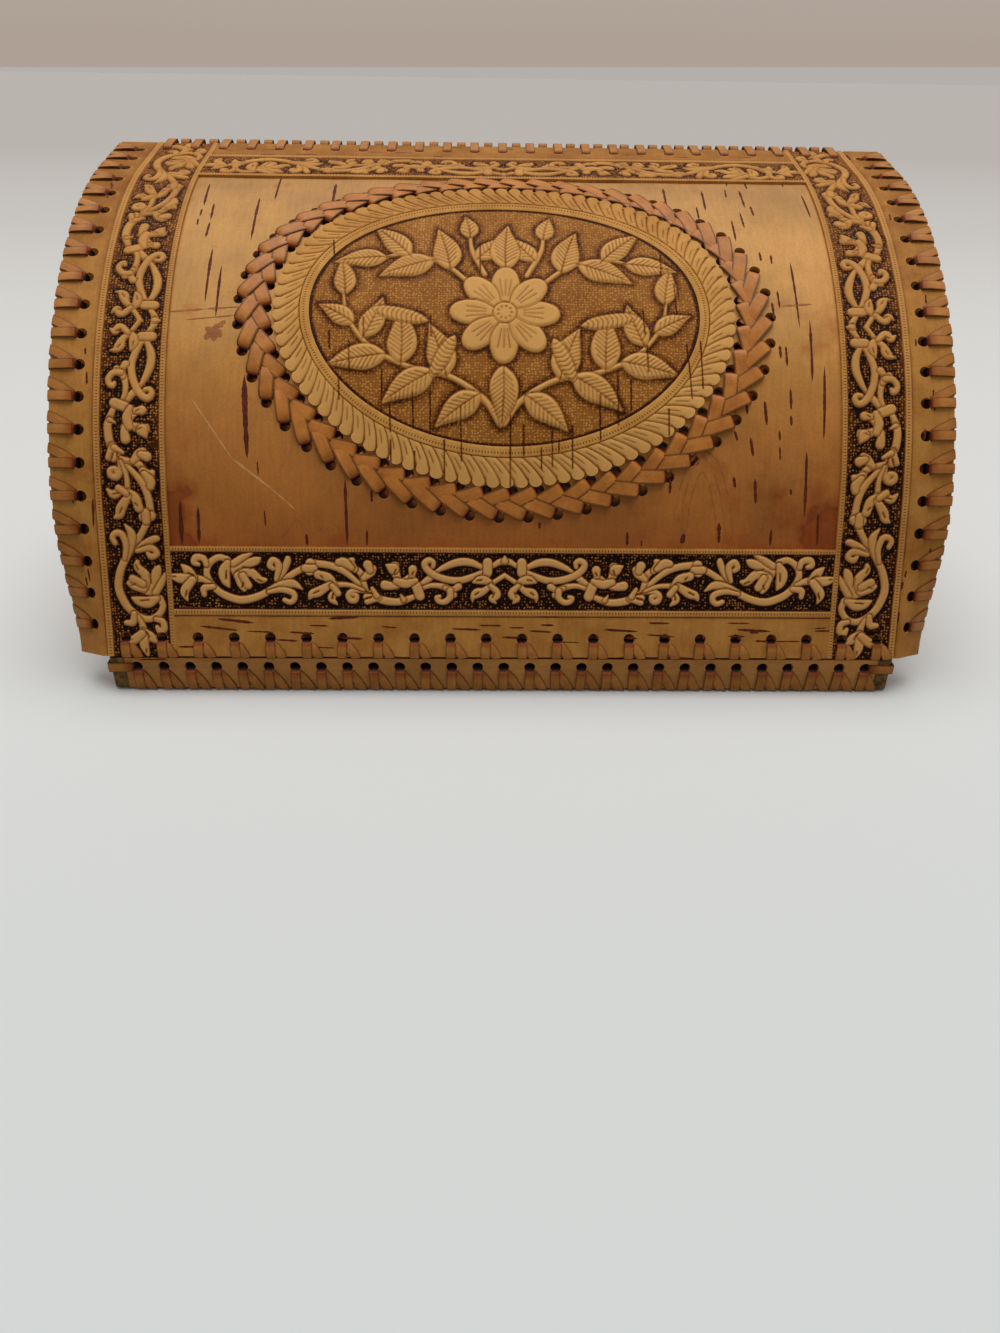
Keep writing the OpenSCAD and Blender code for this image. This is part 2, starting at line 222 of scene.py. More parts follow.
def bark(name, light, dark, clouds_mm=28.0, fibre_mm=1.6, where="UV", stretch=(1, 0.12, 1), roughness=0.55):
    material = bpy.data.materials.new(name)
    material.use_nodes = True
    shader = material.node_tree.nodes["Principled BSDF"]
    shader.inputs["Roughness"].default_value = roughness
    shader.inputs["IOR"].default_value = 1.45
    shader.inputs["Specular IOR Level"].default_value = 0.25
    place = coordinates(material, where)
    grain = add_node(material, "Mapping", None, {"Vector": place, "Scale": [1000 / fibre_mm * k for k in stretch]})
    clouds = noise(material, place, clouds_mm, 4.0, Roughness=0.6)
    fibres = noise(material, grain.outputs[0], 1000, 3.0, Roughness=0.6)     # the mapping has scaled the place
    specks = noise(material, place, SPECK_MM, 2.0)
    base = ramp(material, clouds, [(0.32, dark), (0.68, light)])
    base = multiply(material, base, ramp(material, fibres, [(0.3, 0.6), (0.6, 1.0)]), 0.3)
    base = multiply(material, base, ramp(material, specks, [(0.35, 0.7), (0.6, 1.0)]), 0.3)
    connect(material, base, shader.inputs["Base Color"])
    rough = add_node(material, "Mix", {"data_type": "FLOAT"}, {0: 0.5, 2: fibres, 3: specks})
    uneven = add_node(material, "Bump", None, {"Height": rough.outputs[0], "Strength": 0.25, "Distance": BUMP_DEPTH})
    connect(material, uneven.outputs[0], shader.inputs["Normal"])
    return material, base, shader


# %% [markdown]
# The lid's panel is caramel, darker and redder at the front, which is the bark's own tone. It is
# palest across the middle and a little darker again towards the hinge: a painted sheen of the light
# from above. Water has left a few tide marks with a darker rim, where the mesh says that the bark has aged.

# %% Panel's bark and the plain barks
caramel, cloudy, caramel_shader = bark("birch_bark_caramel", "#F4F4F4", "#D0D0D0", clouds_mm=40)
sheet_place = coordinates(caramel, "UV")
up_lid = map_range(caramel, axis_of(caramel, sheet_place, 1), 0.05, 0.25, 0.0, 1.0)
# Painted light: the middle of the lid is painted pale as the sheen of the light from above; the darker, redder front
# is the bark's own tone
tone_and_painted_sheen = ramp(caramel, up_lid, [(0.0, "#C4722C"), (0.11, "#CC8036"), (0.22, "#D88C3E"), (0.34, "#DE9846"),
                                (0.48, "#F0AE5A"), (0.72, "#ECAC5A"), (0.9, "#D89C56")])
drift = noise(caramel, sheet_place, 16.0, 3.0)
tide = compute(caramel, "MULTIPLY_ADD", drift, 0.5, attribute(caramel, "aged"))
tide_tone = ramp(caramel, tide, [(0.0, "#FFF2DC"), (0.16, "#FFFFFF"), (0.42, "#FFFFFF"), (0.52, "#E8CDB0"),
                                 (0.545, "#C69C78"), (0.57, "#D8B48E"), (1.0, "#BC8A5E")])
patchy = multiply(caramel, cloudy, tone_and_painted_sheen)
connect(caramel, multiply(caramel, patchy, tide_tone), caramel_shader.inputs["Base Color"])

ACROSS_GRAIN, UP_GRAIN = (0.12, 1, 1), (1, 1, 0.15)
lining = bark("birch_bark_lining", "#C4935C", "#A87842", clouds_mm=40, where="Object")[0]
# Painted light: the walls' bark is paler than the bark is, to lift the shadow of the lid's edge off the front wall;
# the end panels and back wall share it
wall_bark_with_painted_light = bark("birch_bark_wall", "#D2934C", "#B67C3E", clouds_mm=55, where="Object", stretch=ACROSS_GRAIN)[0]
# The white outer side of the bark is rougher; the corner pieces are dark brown with paler streaks
white_bark = bark("birch_bark_outer_white", "#CFC7B8", "#8F8578", clouds_mm=12, fibre_mm=1.2,
                  where="Object", stretch=UP_GRAIN, roughness=0.7)[0]
corner_bark = bark("birch_bark_outer_corner", "#94703E", "#2C190B", clouds_mm=3, fibre_mm=1.0,
                   where="Object", stretch=UP_GRAIN, roughness=0.7)[0]


def strap_material(name, light, dark, half_mm, **settings):
    """A split strap: it is darker along its long edges, and its ends in the holes are painted dark, as painted shade
    of the holes. Its UV runs across and along it.
    """
    material, base, shader = bark(name, light, dark, **settings)
    away = compute(material, "ABSOLUTE", axis_of(material, coordinates(material, "UV"), 0))
    edge = map_range(material, away, (half_mm - 0.5) * MM, (half_mm - 0.05) * MM, 1.0, 0.35)
    # Painted shade: the ends that go into the holes are painted nearly black
    hole_shade = ramp(material, attribute(material, "tucked"),
                 [(0.0, "#FFFFFF"), (0.5, "#CC9A74"), (0.85, "#5A3018"), (1.0, "#1C0B04")])
    connect(material, multiply(material, multiply(material, base, edge), hole_shade), shader.inputs["Base Color"])
    return material


strap_bark = strap_material("birch_bark_strap", "#CB8640", "#A56728", 2.1, clouds_mm=12)
braid_bark = strap_material("birch_bark_braid", "#D5883A", "#B36A28", 2.7, clouds_mm=9, roughness=0.45)

# %% [markdown]
# ### Embossed bark
# The patterns are pressed with a blunt tool, and dark stain is rubbed in and wiped off the high
# parts. Each embossed sheet carries its values in its mesh: how much stain stays, where the
# ground was pricked, which leaves pale grains about 1.2 mm apart, how far a part is raised and
# so painted pale, partly as rubbed bark and partly as a painted highlight, and where a wheel ran that leaves a dot
# every 1.3 mm.

# %% Embossed bark
PRICK_MM, WHEEL_MM, STAIN_DRIFT_MM = 1.2, 1.3, 14.0


def embossed(name, light, dark, worn, stain, clouds_mm):
    material, base, shader = bark(name, light, dark, clouds_mm)
    shader.inputs["Specular IOR Level"].default_value = 0.08
    place = coordinates(material, "UV")
    cells = add_node(material, "TexVoronoi", {"feature": "F1"},
                     {"Vector": place, "Scale": 1000 / PRICK_MM, "Randomness": 0.5}).outputs["Distance"]
    bead = ramp(material, cells, [(0.27, 0.0), (0.46, 1.0)])
    pricked = attribute(material, "pricked")
    grains = compute(material, "MULTIPLY", bead, pricked)
    beat = compute(material, "COSINE", compute(material, "MULTIPLY", attribute(material, "run"), 2 * pi / WHEEL_MM))
    dot = compute(material, "MULTIPLY", beat, attribute(material, "dots"), clamp=True)
    dents = compute(material, "ADD", grains, dot)
    uneven = map_range(material, noise(material, place, STAIN_DRIFT_MM, 3.0), 0.35, 0.6, 0.75, 1.12)
    stain_left = compute(material, "MULTIPLY", attribute(material, "stain"), uneven)
    total = compute(material, "ADD", dents, stain_left, clamp=True)
    tone = ramp(material, total, [(0.0, "#FFFFFF"), (0.5, "#B89C76"), (0.8, "#775C3E"), (1.0, stain)])
    # Painted highlight: raised parts are painted paler, partly rubbed bark and partly the highlight on their tops
    rubbed_and_highlit = blend(material, attribute(material, "raised"), base, colour(worn))
    connect(material, multiply(material, rubbed_and_highlit, tone), shader.inputs["Base Color"])
    pressed = add_node(material, "Bump", {"invert": True}, {
        "Height": dents, "Strength": 0.6, "Distance": BUMP_DEPTH, "Normal": shader.inputs["Normal"].links[0].from_socket})
    connect(material, pressed.outputs[0], shader.inputs["Normal"])
    return material


border_bark = embossed("birch_bark_embossed_border", "#CF9349", "#AE7233", "#E2AA66", "#231505", 18)
medallion_bark = embossed("birch_bark_embossed_medallion", "#DEA455", "#C68941", "#E6B068", "#46301A", 24)
# Lenticels are the dark pores of birch bark
pore = bark("birch_bark_lenticel", "#6E2A0C", "#481706", clouds_mm=5, roughness=0.7)[0]
tannin = bark("birch_bark_tannin_line", "#B47034", "#975626", clouds_mm=5)[0]
scuffed = bark("birch_bark_scuffed", "#DFA865", "#C68F4E", clouds_mm=5)[0]
print(len(bpy.data.materials), "materials")

# %% [markdown]
# ## Sheets
# A sheet starts flat, as a fine grid with a skirt and an underside, closed like a real sheet.
# A boolean punches its holes, and then every point moves to its place on the lid.

# %% Meshes
def new_object(name, points, quads, ngons=()):
    mesh = bpy.data.meshes.new(name)
    loops = np.concatenate([np.asarray(quads, int).ravel()] + [np.asarray(n, int) for n in ngons])
    sizes = np.array([4] * len(quads) + [len(n) for n in ngons])
    mesh.vertices.add(len(points))
    mesh.vertices.foreach_set("co", np.asarray(points, np.float32).ravel())
    mesh.loops.add(len(loops))
    mesh.loops.foreach_set("vertex_index", loops.astype(np.int32))
    mesh.polygons.add(len(sizes))
    mesh.polygons.foreach_set("loop_start", np.concatenate([[0], np.cumsum(sizes)[:-1]]).astype(np.int32))
    mesh.update(calc_edges=True)
    mesh.validate()
    piece = bpy.data.objects.new(name, mesh)
    bpy.context.scene.collection.objects.link(piece)
    return piece


def points_of(piece):
    found = np.zeros(len(piece.data.vertices) * 3, np.float32)
    piece.data.vertices.foreach_get("co", found)
    return found.reshape(-1, 3).astype(float)


def add_uv(piece, name, uv):
    """uv: the map's place of every point, in millimetres."""
    corners = np.zeros(len(piece.data.loops), np.int32)
    piece.data.loops.foreach_get("vertex_index", corners)
    piece.data.uv_layers.new(name=name).data.foreach_set("uv", (uv[corners] * MM).astype(np.float32).ravel())


def add_values(piece, name, values):
    piece.data.attributes.new(name, "FLOAT", "POINT").data.foreach_set("value", np.asarray(values).astype(np.float32))


def pick(piece):
    bpy.ops.object.select_all(action="DESELECT")
    piece.select_set(True)
    bpy.context.view_layer.objects.active = piece


def finish_piece(piece, material, body, nodes=(), angle=40):
    """angle: the edges that stay sharp, in degrees."""
    piece.data.materials.clear()
    piece.data.materials.append(material)
    pick(piece)
    bpy.ops.object.shade_smooth_by_angle(angle=radians(angle))
    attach(piece, body)
    if nodes:
        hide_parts(*nodes)
    print(piece.name, sum(len(f.vertices) - 2 for f in piece.data.polygons), "triangles")


# %% Sheets
HOLE_R = 2.4


def flat_sheet(name, x, s, height, thick, under, ring=False, **values):
    """x, s and height are grids. under lists the columns that the underside keeps."""
    rows, columns = x.shape
    under = sorted(set(under))
    top = np.arange(rows * columns).reshape(rows, columns)
    low = np.arange(rows * len(under)).reshape(rows, -1) + rows * columns
    below = np.stack([x[:, under], s[:, under], np.full_like(x[:, under], -thick)], -1)
    points = np.concatenate([np.stack([x, s, height], -1).reshape(-1, 3), below.reshape(-1, 3)])
    if ring:
        top, low = np.vstack([top, top[:1]]), np.vstack([low, low[:1]])
    quads = np.concatenate([
        np.stack([top[:-1, :-1], top[:-1, 1:], top[1:, 1:], top[1:, :-1]], -1).reshape(-1, 4),
        np.stack([low[:-1, :-1], low[1:, :-1], low[1:, 1:], low[:-1, 1:]], -1).reshape(-1, 4),
        np.stack([top[:-1, 0], top[1:, 0], low[1:, 0], low[:-1, 0]], -1),
        np.stack([top[:-1, -1], low[:-1, -1], low[1:, -1], top[1:, -1]], -1)])
    ends = [] if ring else [list(low[0]) + list(top[0, ::-1]), list(top[-1]) + list(low[-1, ::-1])]
    piece = new_object(name, points, quads, ends)
    for key, value in values.items():
        value = np.asarray(value, float)
        add_values(piece, key, np.concatenate([value.ravel(), value[:, under].ravel()]))
    return piece


def punch(piece, holes, radius=HOLE_R):
    """Cuts round holes at the flat places (x, s)."""
    bpy.ops.object.select_all(action="DESELECT")
    bpy.ops.mesh.primitive_cylinder_add(vertices=14, radius=radius, depth=8)
    pin = bpy.context.object
    shape = points_of(pin)
    faces = [list(face.vertices) for face in pin.data.polygons]
    points = np.concatenate([shape + [x, s, 0] for x, s in holes])
    ngons = [[i + k * len(shape) for i in face] for k in range(len(holes)) for face in faces]
    cutter = new_object("pins", points, np.zeros((0, 4), int), ngons)
    bool_mod = piece.modifiers.new("holes", "BOOLEAN")
    bool_mod.operation, bool_mod.solver, bool_mod.object = "DIFFERENCE", "MANIFOLD", cutter
    bpy.context.view_layer.objects.active = piece
    bpy.ops.object.modifier_apply(modifier="holes")
    for spare in (pin, cutter):
        bpy.data.objects.remove(spare)


def lay_on_lid(piece, level, material, node, angle=40):
    """Gives the sheet its flat UV map, then bends it so that its height 0 lies at depth level."""
    flat = points_of(piece)
    add_uv(piece, "flat", flat[:, :2])
    bent = on_lid(flat[:, 0], flat[:, 1], level - flat[:, 2])
    piece.data.vertices.foreach_set("co", bent.astype(np.float32).ravel())
    piece.data.update()
    finish_piece(piece, material, "lid", [node], angle)


# %% [markdown]
# ### Where the holes are
# Every edge has a row of punched holes. Two rows of 51 holes follow the oval: the braid that
# holds the medallion runs through them.

# %% Hole places
FRONT_REACH, SIDE_REACH, RIM_REACH, CORNER_REACH, FLOOR_REACH = 8.2, 12.0, 8.0, 12.0, 14.0    # from the edge
RING = 51

# Each row: its first hole, its last hole and how many
front_row = np.linspace(-LID_W / 2 + 26, LID_W / 2 - 26, 22)
side_row = np.linspace(13.5, LID_LEN - 12.5, 20)
hinge_row = np.linspace(-TRAY_W / 2 + 6.5, TRAY_W / 2 - 6.5, 25)
wall_row = (hinge_row[1:] + hinge_row[:-1]) / 2
tray_row = np.linspace(-TRAY_W / 2 + 23.5, TRAY_W / 2 - 23.5, 27)
tray_side_row = np.linspace(-BACK_Y + 26, BACK_Y - 26, 14)
rim_row = np.linspace(22, LID_LEN - 24, 15)
corner_row = np.linspace(30, WALL_TOP - 22, 11)
front_holes = [(x, FRONT_REACH) for x in front_row]
back_holes = [(x, LID_LEN - FRONT_REACH) for x in hinge_row]
side_holes = [(side * (LID_W / 2 - SIDE_REACH), s) for side in (-1, 1) for s in side_row]


class Oval:
    """An oval on the flat lid. place(phase) goes once round it, clockwise from the bottom, at an even pace."""

    def __init__(self, x, s, wide, high, turn):
        t = np.linspace(0, 2 * pi, 4001)
        px, py = -wide * np.sin(t), -high * np.cos(t)
        run = np.concatenate([[0], np.cumsum(np.hypot(np.diff(px), np.diff(py)))])
        self.length, self.share, self.t = run[-1], run / run[-1], t
        self.x, self.s, self.wide, self.high, self.turn = x, s, wide, high, radians(turn)

    def angle(self, phase):
        return np.interp(np.asarray(phase) % 1.0, self.share, self.t)

    def at(self, t):
        px, py = -self.wide * np.sin(t), -self.high * np.cos(t)
        c, d = cos(self.turn), sin(self.turn)
        return self.x + px * c - py * d, self.s + px * d + py * c

    def place(self, phase):
        return self.at(self.angle(phase))


outer_oval = Oval(-0.1, 148.1, 113.1, 87.9, -1.66)
inner_oval = Oval(-0.4, 150.2, 100.9, 79.1, -1.5)
outer_holes = [outer_oval.place(k / RING) for k in range(RING)]
inner_holes = [inner_oval.place((k + 0.5) / RING) for k in range(RING)]
oval_holes = outer_holes + inner_holes
print("hole pitch on the outer oval", round(outer_oval.length / RING, 2), "mm")

# %% [markdown]
# ### Panel and lining
# The panel is a whole sheet under the borders, with the lining as a second ply inside. Bark is
# never quite flat, so the panel gets waves a few centimetres long and a fraction of a millimetre
# high; the lining stays flat.

# %% Panel and lining
def waves(x, s, seed, size, high):
    random = np.random.default_rng(seed)
    total = np.zeros(np.shape(x))
    for _ in range(9):
        direction, phase = random.uniform(0, 2 * pi), random.uniform(0, 2 * pi)
        step = 2 * pi / (size * random.uniform(0.7, 1.6))
        total += np.sin((x * cos(direction) + s * sin(direction)) * step + phase)
    return total * high / 4


def panel_height(x, s):
    return waves(x, s, 5, 45, 0.12) * smooth(np.minimum(s, LID_LEN - s) / 20)


def margin_height(x, s):
    return waves(x, s, 9, 30, 0.05)


def no_height(x, s):
    return np.zeros_like(x)


def aging(x, s):
    """How far the bark has darkened: most along the front border and in its corners, less where it is worn."""
    def spot(x0, s0, wide, high):
        return np.exp(-((x - x0) / wide) ** 2 - ((s - s0) / high) ** 2)
    return (0.1 + 0.26 * spot(-143, 50, 14, 24) + 0.1 * spot(-80, 46, 90, 7) + 0.1 * spot(140, 48, 24, 30)
            + 0.13 * spot(136, 140, 16, 16) + 0.1 * smooth((x - 20) / 90) * smooth((110 - s) / 50)
            + 0.12 * spot(-136, 150, 14, 5) - 0.2 * spot(100, 108, 12, 16) - 0.12 * spot(-90, 70, 22, 12))


def plain_sheet(name, thick, depth, material, node, height, holes):
    """holes: pairs of a list of places and a radius."""
    xs = np.concatenate([np.arange(-189, -173, 2), np.linspace(-173, 173, 116), np.arange(175, 190, 2)])
    x, s = np.meshgrid(xs, np.linspace(0, LID_LEN, 96))
    ends = [i for i, v in enumerate(xs) if abs(v) > 172.9]
    piece = flat_sheet(name, x, s, height(x, s), thick, ends, aged=aging(x, s))
    for places, radius in holes:
        punch(piece, places, radius)
    lay_on_lid(piece, depth, material, node)


edge_holes = front_holes + back_holes + side_holes
plain_sheet("panel_sheet", PANEL_T, STRIP_T, caramel, "lid_panel", panel_height,
            [(edge_holes + oval_holes, HOLE_R)])
# The lining's edge holes are tighter, so that no light shows past the straps
plain_sheet("lining_sheet", LINING_T, STRIP_T + PANEL_T, lining, "lid_lining", no_height,
            [(edge_holes, 1.8), (oval_holes, HOLE_R)])

# %% [markdown]
# ## Pressing a pattern
# A pattern is a list of strokes: (u, w, half-width) points of a smooth line, in millimetres. They
# are pressed one after another into a height map, and each one cuts a dark groove into what it
# crosses, so that leaves and stems lie over each other as they do in the bark.

# %% Pattern map
class Pattern:
    def __init__(self, u0, u1, w0, w1, step=0.2):
        self.u0, self.w0, self.step = u0, w0, step
        self.u, self.w = np.meshgrid(np.arange(u0, u1 + step, step), np.arange(w0, w1 + step, step))
        self.height, self.stain = np.zeros_like(self.u), np.zeros_like(self.u)
        self.pricked, self.gap = np.ones_like(self.u), np.full_like(self.u, 9.0)

    def line(self, stroke):
        p = np.array(stroke, float)
        p = np.vstack([2 * p[0] - p[1], p, 2 * p[-1] - p[-2]])
        found = []
        for a, b, c, d in zip(p[:-3], p[1:-2], p[2:-1], p[3:]):
            t = np.linspace(0, 1, max(2, int(hypot(*(c - b)[:2]) / 0.35)), endpoint=False)[:, None]
            found.append(0.5 * (2 * b + (c - a) * t + (2 * a - 5 * b + 4 * c - d) * t ** 2
                                + (3 * b - a - 3 * c + d) * t ** 3))
        return np.vstack(found + [p[-2:-1]])

    def distance(self, line):
        """The part of the map near the line, and how far each place in it lies outside the stroke."""
        reach = line[:, 2].max() + 3.2

        def span(axis, start):
            low = (line[:, axis].min() - reach - start) / self.step
            high = (line[:, axis].max() + reach - start) / self.step
            return slice(max(0, int(low)), max(0, int(high) + 2))
        box = (span(1, self.w0), span(0, self.u0))
        u, w = self.u[box], self.w[box]
        far = np.full(u.shape, 9.0)
        for x, y, half in line:
            far = np.minimum(far, np.hypot(u - x, w - y) - max(half, 0.1))
        return box, far

    def press(self, stroke, high=0.7, soft=0.75, groove=0.5):
        box, far = self.distance(self.line(stroke))
        inside = smooth(-far / soft)
        near = np.clip(far / groove, 0, 1)
        self.height[box] = np.where(far < 0, high * (0.25 + 0.75 * inside), self.height[box] * near)
        rim = 0.75 * np.clip(1 + far / 0.35, 0, 1)
        self.stain[box] = np.where(far < 0, rim, np.maximum(self.stain[box], 1 - near))
        self.pricked[box] = np.where(far < 0, 0, self.pricked[box] * near)
        self.gap[box] = np.minimum(self.gap[box], np.maximum(far, 0))

    def settle(self, ground, beside, wide):
        """Stain collects beside the strokes: that much there, and less with distance on the open ground."""
        gathered = ground + (beside - ground) * np.exp(-(self.gap / wide) ** 2)
        self.stain = np.where(self.pricked > 0, np.maximum(self.stain, gathered), self.stain)

    def cut(self, stroke, half=0.2, deep=0.3):
        box, far = self.distance(self.line([(u, w, half) for u, w in stroke]))
        here = np.clip(1 - far / 0.3, 0, 1)
        self.height[box] -= deep * here
        self.stain[box] = np.maximum(self.stain[box], 0.9 * here)

    def look(self, values, u, w):
        i = np.clip((u - self.u0) / self.step, 0, values.shape[1] - 1.001)
        j = np.clip((w - self.w0) / self.step, 0, values.shape[0] - 1.001)
        i0, j0 = i.astype(int), j.astype(int)
        fi, fj = i - i0, j - j0
        return ((values[j0, i0] * (1 - fi) + values[j0, i0 + 1] * fi) * (1 - fj)
                + (values[j0 + 1, i0] * (1 - fi) + values[j0 + 1, i0 + 1] * fi) * fj)


# %% [markdown]
# ### The vine scroll
# The four borders carry the same traditional scroll: a lens of two leaves in the middle, then a
# vine that swings from side to side with curls, blossoms and leaves. u is measured from the
# middle of the band and w from its inner edge. The other half is its mirror image.

# %% Vine scroll
SCROLL = [
    [(31.7, 10.3, 1.3), (34.4, 12.6, 1.3), (36.5, 14.9, 1.1)], [(39.2, 18.8, 1.1), (43.2, 20.3, 1.4),
    (46.5, 20.9, 1.5), (52, 20.2, 1.6), (56.4, 18.1, 1.4)], [(43.2, 20.1, 1), (44.5, 17.8, .3)],
    [(59.6, 16.3, .7), (63.4, 12, 1), (68.7, 7.7, 1.3), (74.1, 5.4, 1.4), (80.9, 4.4, 1.4)], [(85.1, 6.2, 1.3),
    (90, 8.9, 1.3), (95, 12.4, 1.3), (100.8, 16.5, 1.4), (106.5, 19.2, 1.5), (112.8, 20.3, 1.6),
    (118.2, 18.8, 1.6), (122.2, 16.4, 1.5), (125.4, 12.6, 1.4), (126.6, 8.4, 1.3), (125.1, 4.6, 1.3),
    (121.2, 2.1, 1.3), (117.5, 3, 1.3)], [(9.4, 5.9, .9), (14.6, 3.8, 1.5), (19.8, 3.7, 1.6), (25.4, 5.7, 1.2),
    (29.7, 8, .5)], [(9.7, 7.9, .9), (14, 10, 1.3), (19.3, 11.5, 1.4), (24.5, 11.1, 1.4), (29.4, 9.5, 1.4),
    (33, 7, 1.4), (34.1, 4.3, 1.3), (32.2, 2.9, 1.2), (30.4, 3.7, 1), (30.5, 5.5, .9)], [(4.8, 5.1, .9),
    (2.2, 3.5, 1.2), (.1, 3.2, 1.5)], [(.1, 3.2, 1.3), (.1, 1.1, .3)], [(-4.3, 6.2, .9), (.3, 9.4, .9),
    (5.9, 13, .9)], [(7.3, 3.8, 1.9), (7.3, 8.1, 1.9)], [(5.9, 13, .8), (7.5, 11.6, 1.5), (10.4, 11.2, 1.8),
    (13.6, 12.3, .3)], [(6.2, 13.7, .9), (8.9, 16, 1.4), (11.8, 17, 2), (13.5, 18.6, 1), (13.7, 20.8, .2)],
    [(5.9, 13.7, .9), (3.6, 16, 1.4), (3.1, 18, 1.4), (5.3, 19.3, 1.4), (3.7, 21.3, .3)], [(35.5, 15, .8),
    (31.2, 13.7, 1), (26.6, 14.1, 1.2), (23.3, 15.7, 1.5), (21.7, 17.7, 1.3)], [(25.3, 14.8, 1),
    (22, 15.3, 1.1), (19.7, 14.1, 1.5)], [(23.3, 15.9, 1.3), (23.4, 18.8, 1.3), (25.7, 20.8, 1.2),
    (28.2, 20.5, 1.1), (29.2, 19, .9), (27.7, 18.4, .7)], [(37.8, 13.9, 2), (36.2, 18.2, 2)], [(46.3, 14.8, .9),
    (42.3, 11.5, 1.2), (39.6, 9.9, 1.6)], [(39.2, 6.9, 1.8), (39.6, 9.9, 1)], [(44.3, 12.8, 1),
    (46.2, 9.5, 1.6), (47.1, 6.2, 2.2), (46, 4.9, 1)], [(47.4, 6.7, 2.3), (50.5, 5, .3)], [(44.2, 12.9, 1.2),
    (47.7, 14, 1.5), (51.1, 13.6, 1.9)], [(38, 11.6, 1), (42.2, 13, 1.8), (46.2, 11.9, 1.4)],
    [(54.7, 18.8, 1.3), (59.1, 16.7, 1.3)], [(54.7, 18.8, 1.3), (59.2, 18.8, 1.3)], [(54, 19.1, 1.3),
    (58.8, 20.8, 1.2)], [(54.7, 18.4, 1.2), (56.6, 15, .7)], [(82.6, 4.5, 2), (83.1, 7.6, 2)],
    [(81.3, 6.6, 1.6), (84.8, 6.6, 1.6)], [(59.1, 15.6, .9), (60.3, 11.8, 1.1), (61.5, 8.4, 1.3),
    (64.9, 6, 1.4)], [(60.3, 10.8, 1.1), (57.4, 8.4, 1.8), (56.3, 6.7, 1.6)], [(58.3, 5, 1.9),
    (57.4, 7.4, 1.4)], [(63.9, 7, 1.3), (65.5, 3.9, 1.5), (64.7, 2.9, 1)], [(65.2, 6.3, 1.2), (68.2, 3.9, 1.8),
    (70.6, 3.9, 1.4)], [(60.3, 16.3, .8), (64.2, 16, 1), (66.7, 17.7, 1.2), (66.1, 20.1, 1.2),
    (63.9, 20.3, 1.1), (63.2, 18.2, .9), (64.9, 17.8, .8)], [(60.2, 15.8, .6), (66.2, 13.7, .9),
    (73.1, 13.5, 1)], [(72.4, 14.2, 1.1), (75, 10.7, 1.8), (79.4, 9.3, 1.8)], [(74.5, 13.5, 1.3),
    (79.4, 16.6, 2), (82.2, 17.6, 1.6), (83.6, 19.8, .3)], [(71.8, 16.3, 1.5), (74, 19.4, 1.6), (71.7, 22, .4)],
    [(73.5, 14.2, 1.2), (71.2, 17.3, 1.3)], [(97.1, 12, .7), (94.2, 7.9, 1.3), (92.3, 3.8, 1.4),
    (92.1, 2.4, 1)], [(97.4, 11.4, .8), (96.1, 6.5, 1.3), (96.6, 4.1, 1.3), (98.6, 3.1, 1.2), (99.8, 5.5, 1.2),
    (98.5, 6.8, .9)], [(100.8, 15.8, .8), (95.1, 13.5, 1.3), (90.3, 13.1, 1.6), (86.3, 15.6, .3)],
    [(100.8, 16.8, .8), (95.2, 15.8, 1.2), (90.5, 17.2, 1.3), (89.9, 19.7, 1.2), (91.7, 21.2, 1.1),
    (94.1, 20.3, 1)], [(113.9, 10.5, 1.4), (114.6, 6.4, 1.6), (111.1, 5.1, 1.5), (106.2, 3.7, 1.8),
    (103.7, 2.4, .4)], [(112.7, 9.2, 1.7), (107.9, 8.5, 1.8), (104.3, 11.6, 1.5), (101.9, 11.6, .8)],
    [(113.5, 9.9, 1.6), (112, 13.3, 2), (111.1, 15.7, 1)], [(111.4, 9.9, 1.5), (109.3, 14, 1.6)],
    [(107, .2, .5), (110.9, 2, 1.3), (115.2, 4.7, 1.4)], [(117.6, 4.3, 1.2), (119.2, 8.1, 2.3),
    (118.8, 11.9, 1.9), (117.3, 15, .3)], [(125.6, 12.9, .9), (128.8, 11.5, 1.2), (132.9, 10.8, 1.8)],
    [(132.2, 11.1, 1.6), (134.4, 8, 1.9), (137.1, 5.3, .3)], [(133.6, 11.1, 1.7), (138.4, 11.1, 1.9),
    (143.1, 9.7, .3)], [(132.9, 11.8, 1.6), (136.4, 16.7, 1.8), (135.4, 20.8, .3)], [(124.2, 14.6, 1.1),
    (128, 15.3, 1.4), (128.2, 18.1, 1)], [(126.6, 5.3, 1.1), (127.7, 2.6, 1.3), (130.8, 2.2, 1.4),
    (131.8, 4.3, 1.2), (130, 5.1, .9)]]
VEINS = [
    (9.8, 11.2, 11.8, 11.5), (11.2, 16.6, 12.5, 17.6), (4.4, 16.7, 5.1, 18.7), (38.9, 7.9, 39.6, 9.2),
    (46.4, 6.9, 47.1, 8.5), (78.4, 9.7, 77.4, 10.7), (79.4, 16.2, 81.5, 17.3), (73.3, 17.3, 73.7, 19.4),
    (107.8, 6.8, 111.2, 6.1), (103.3, 12.3, 105.3, 11.4), (111.3, 13, 111.9, 14.7), (118.2, 7.8, 118.5, 11.2),
    (132.1, 10.1, 134.4, 8.7), (135.4, 16.3, 136.1, 18.8), (139.7, 10.4, 141.1, 10.3), (56.7, 17.4, 58.8, 16.7),
    (57.1, 19.1, 59.2, 19.4)]
scroll = Pattern(0, 143.5, 0, 24)
for stroke in SCROLL:
    scroll.press([(u, w, half + 0.22) for u, w, half in stroke], groove=0.4)
for u0, w0, u1, w1 in VEINS:
    scroll.cut([(u0, w0), (u1, w1)])
scroll.settle(0.1, 1.0, 1.25)
print("raised share of the scroll", round(float((scroll.pricked < 0.5).mean()), 3))

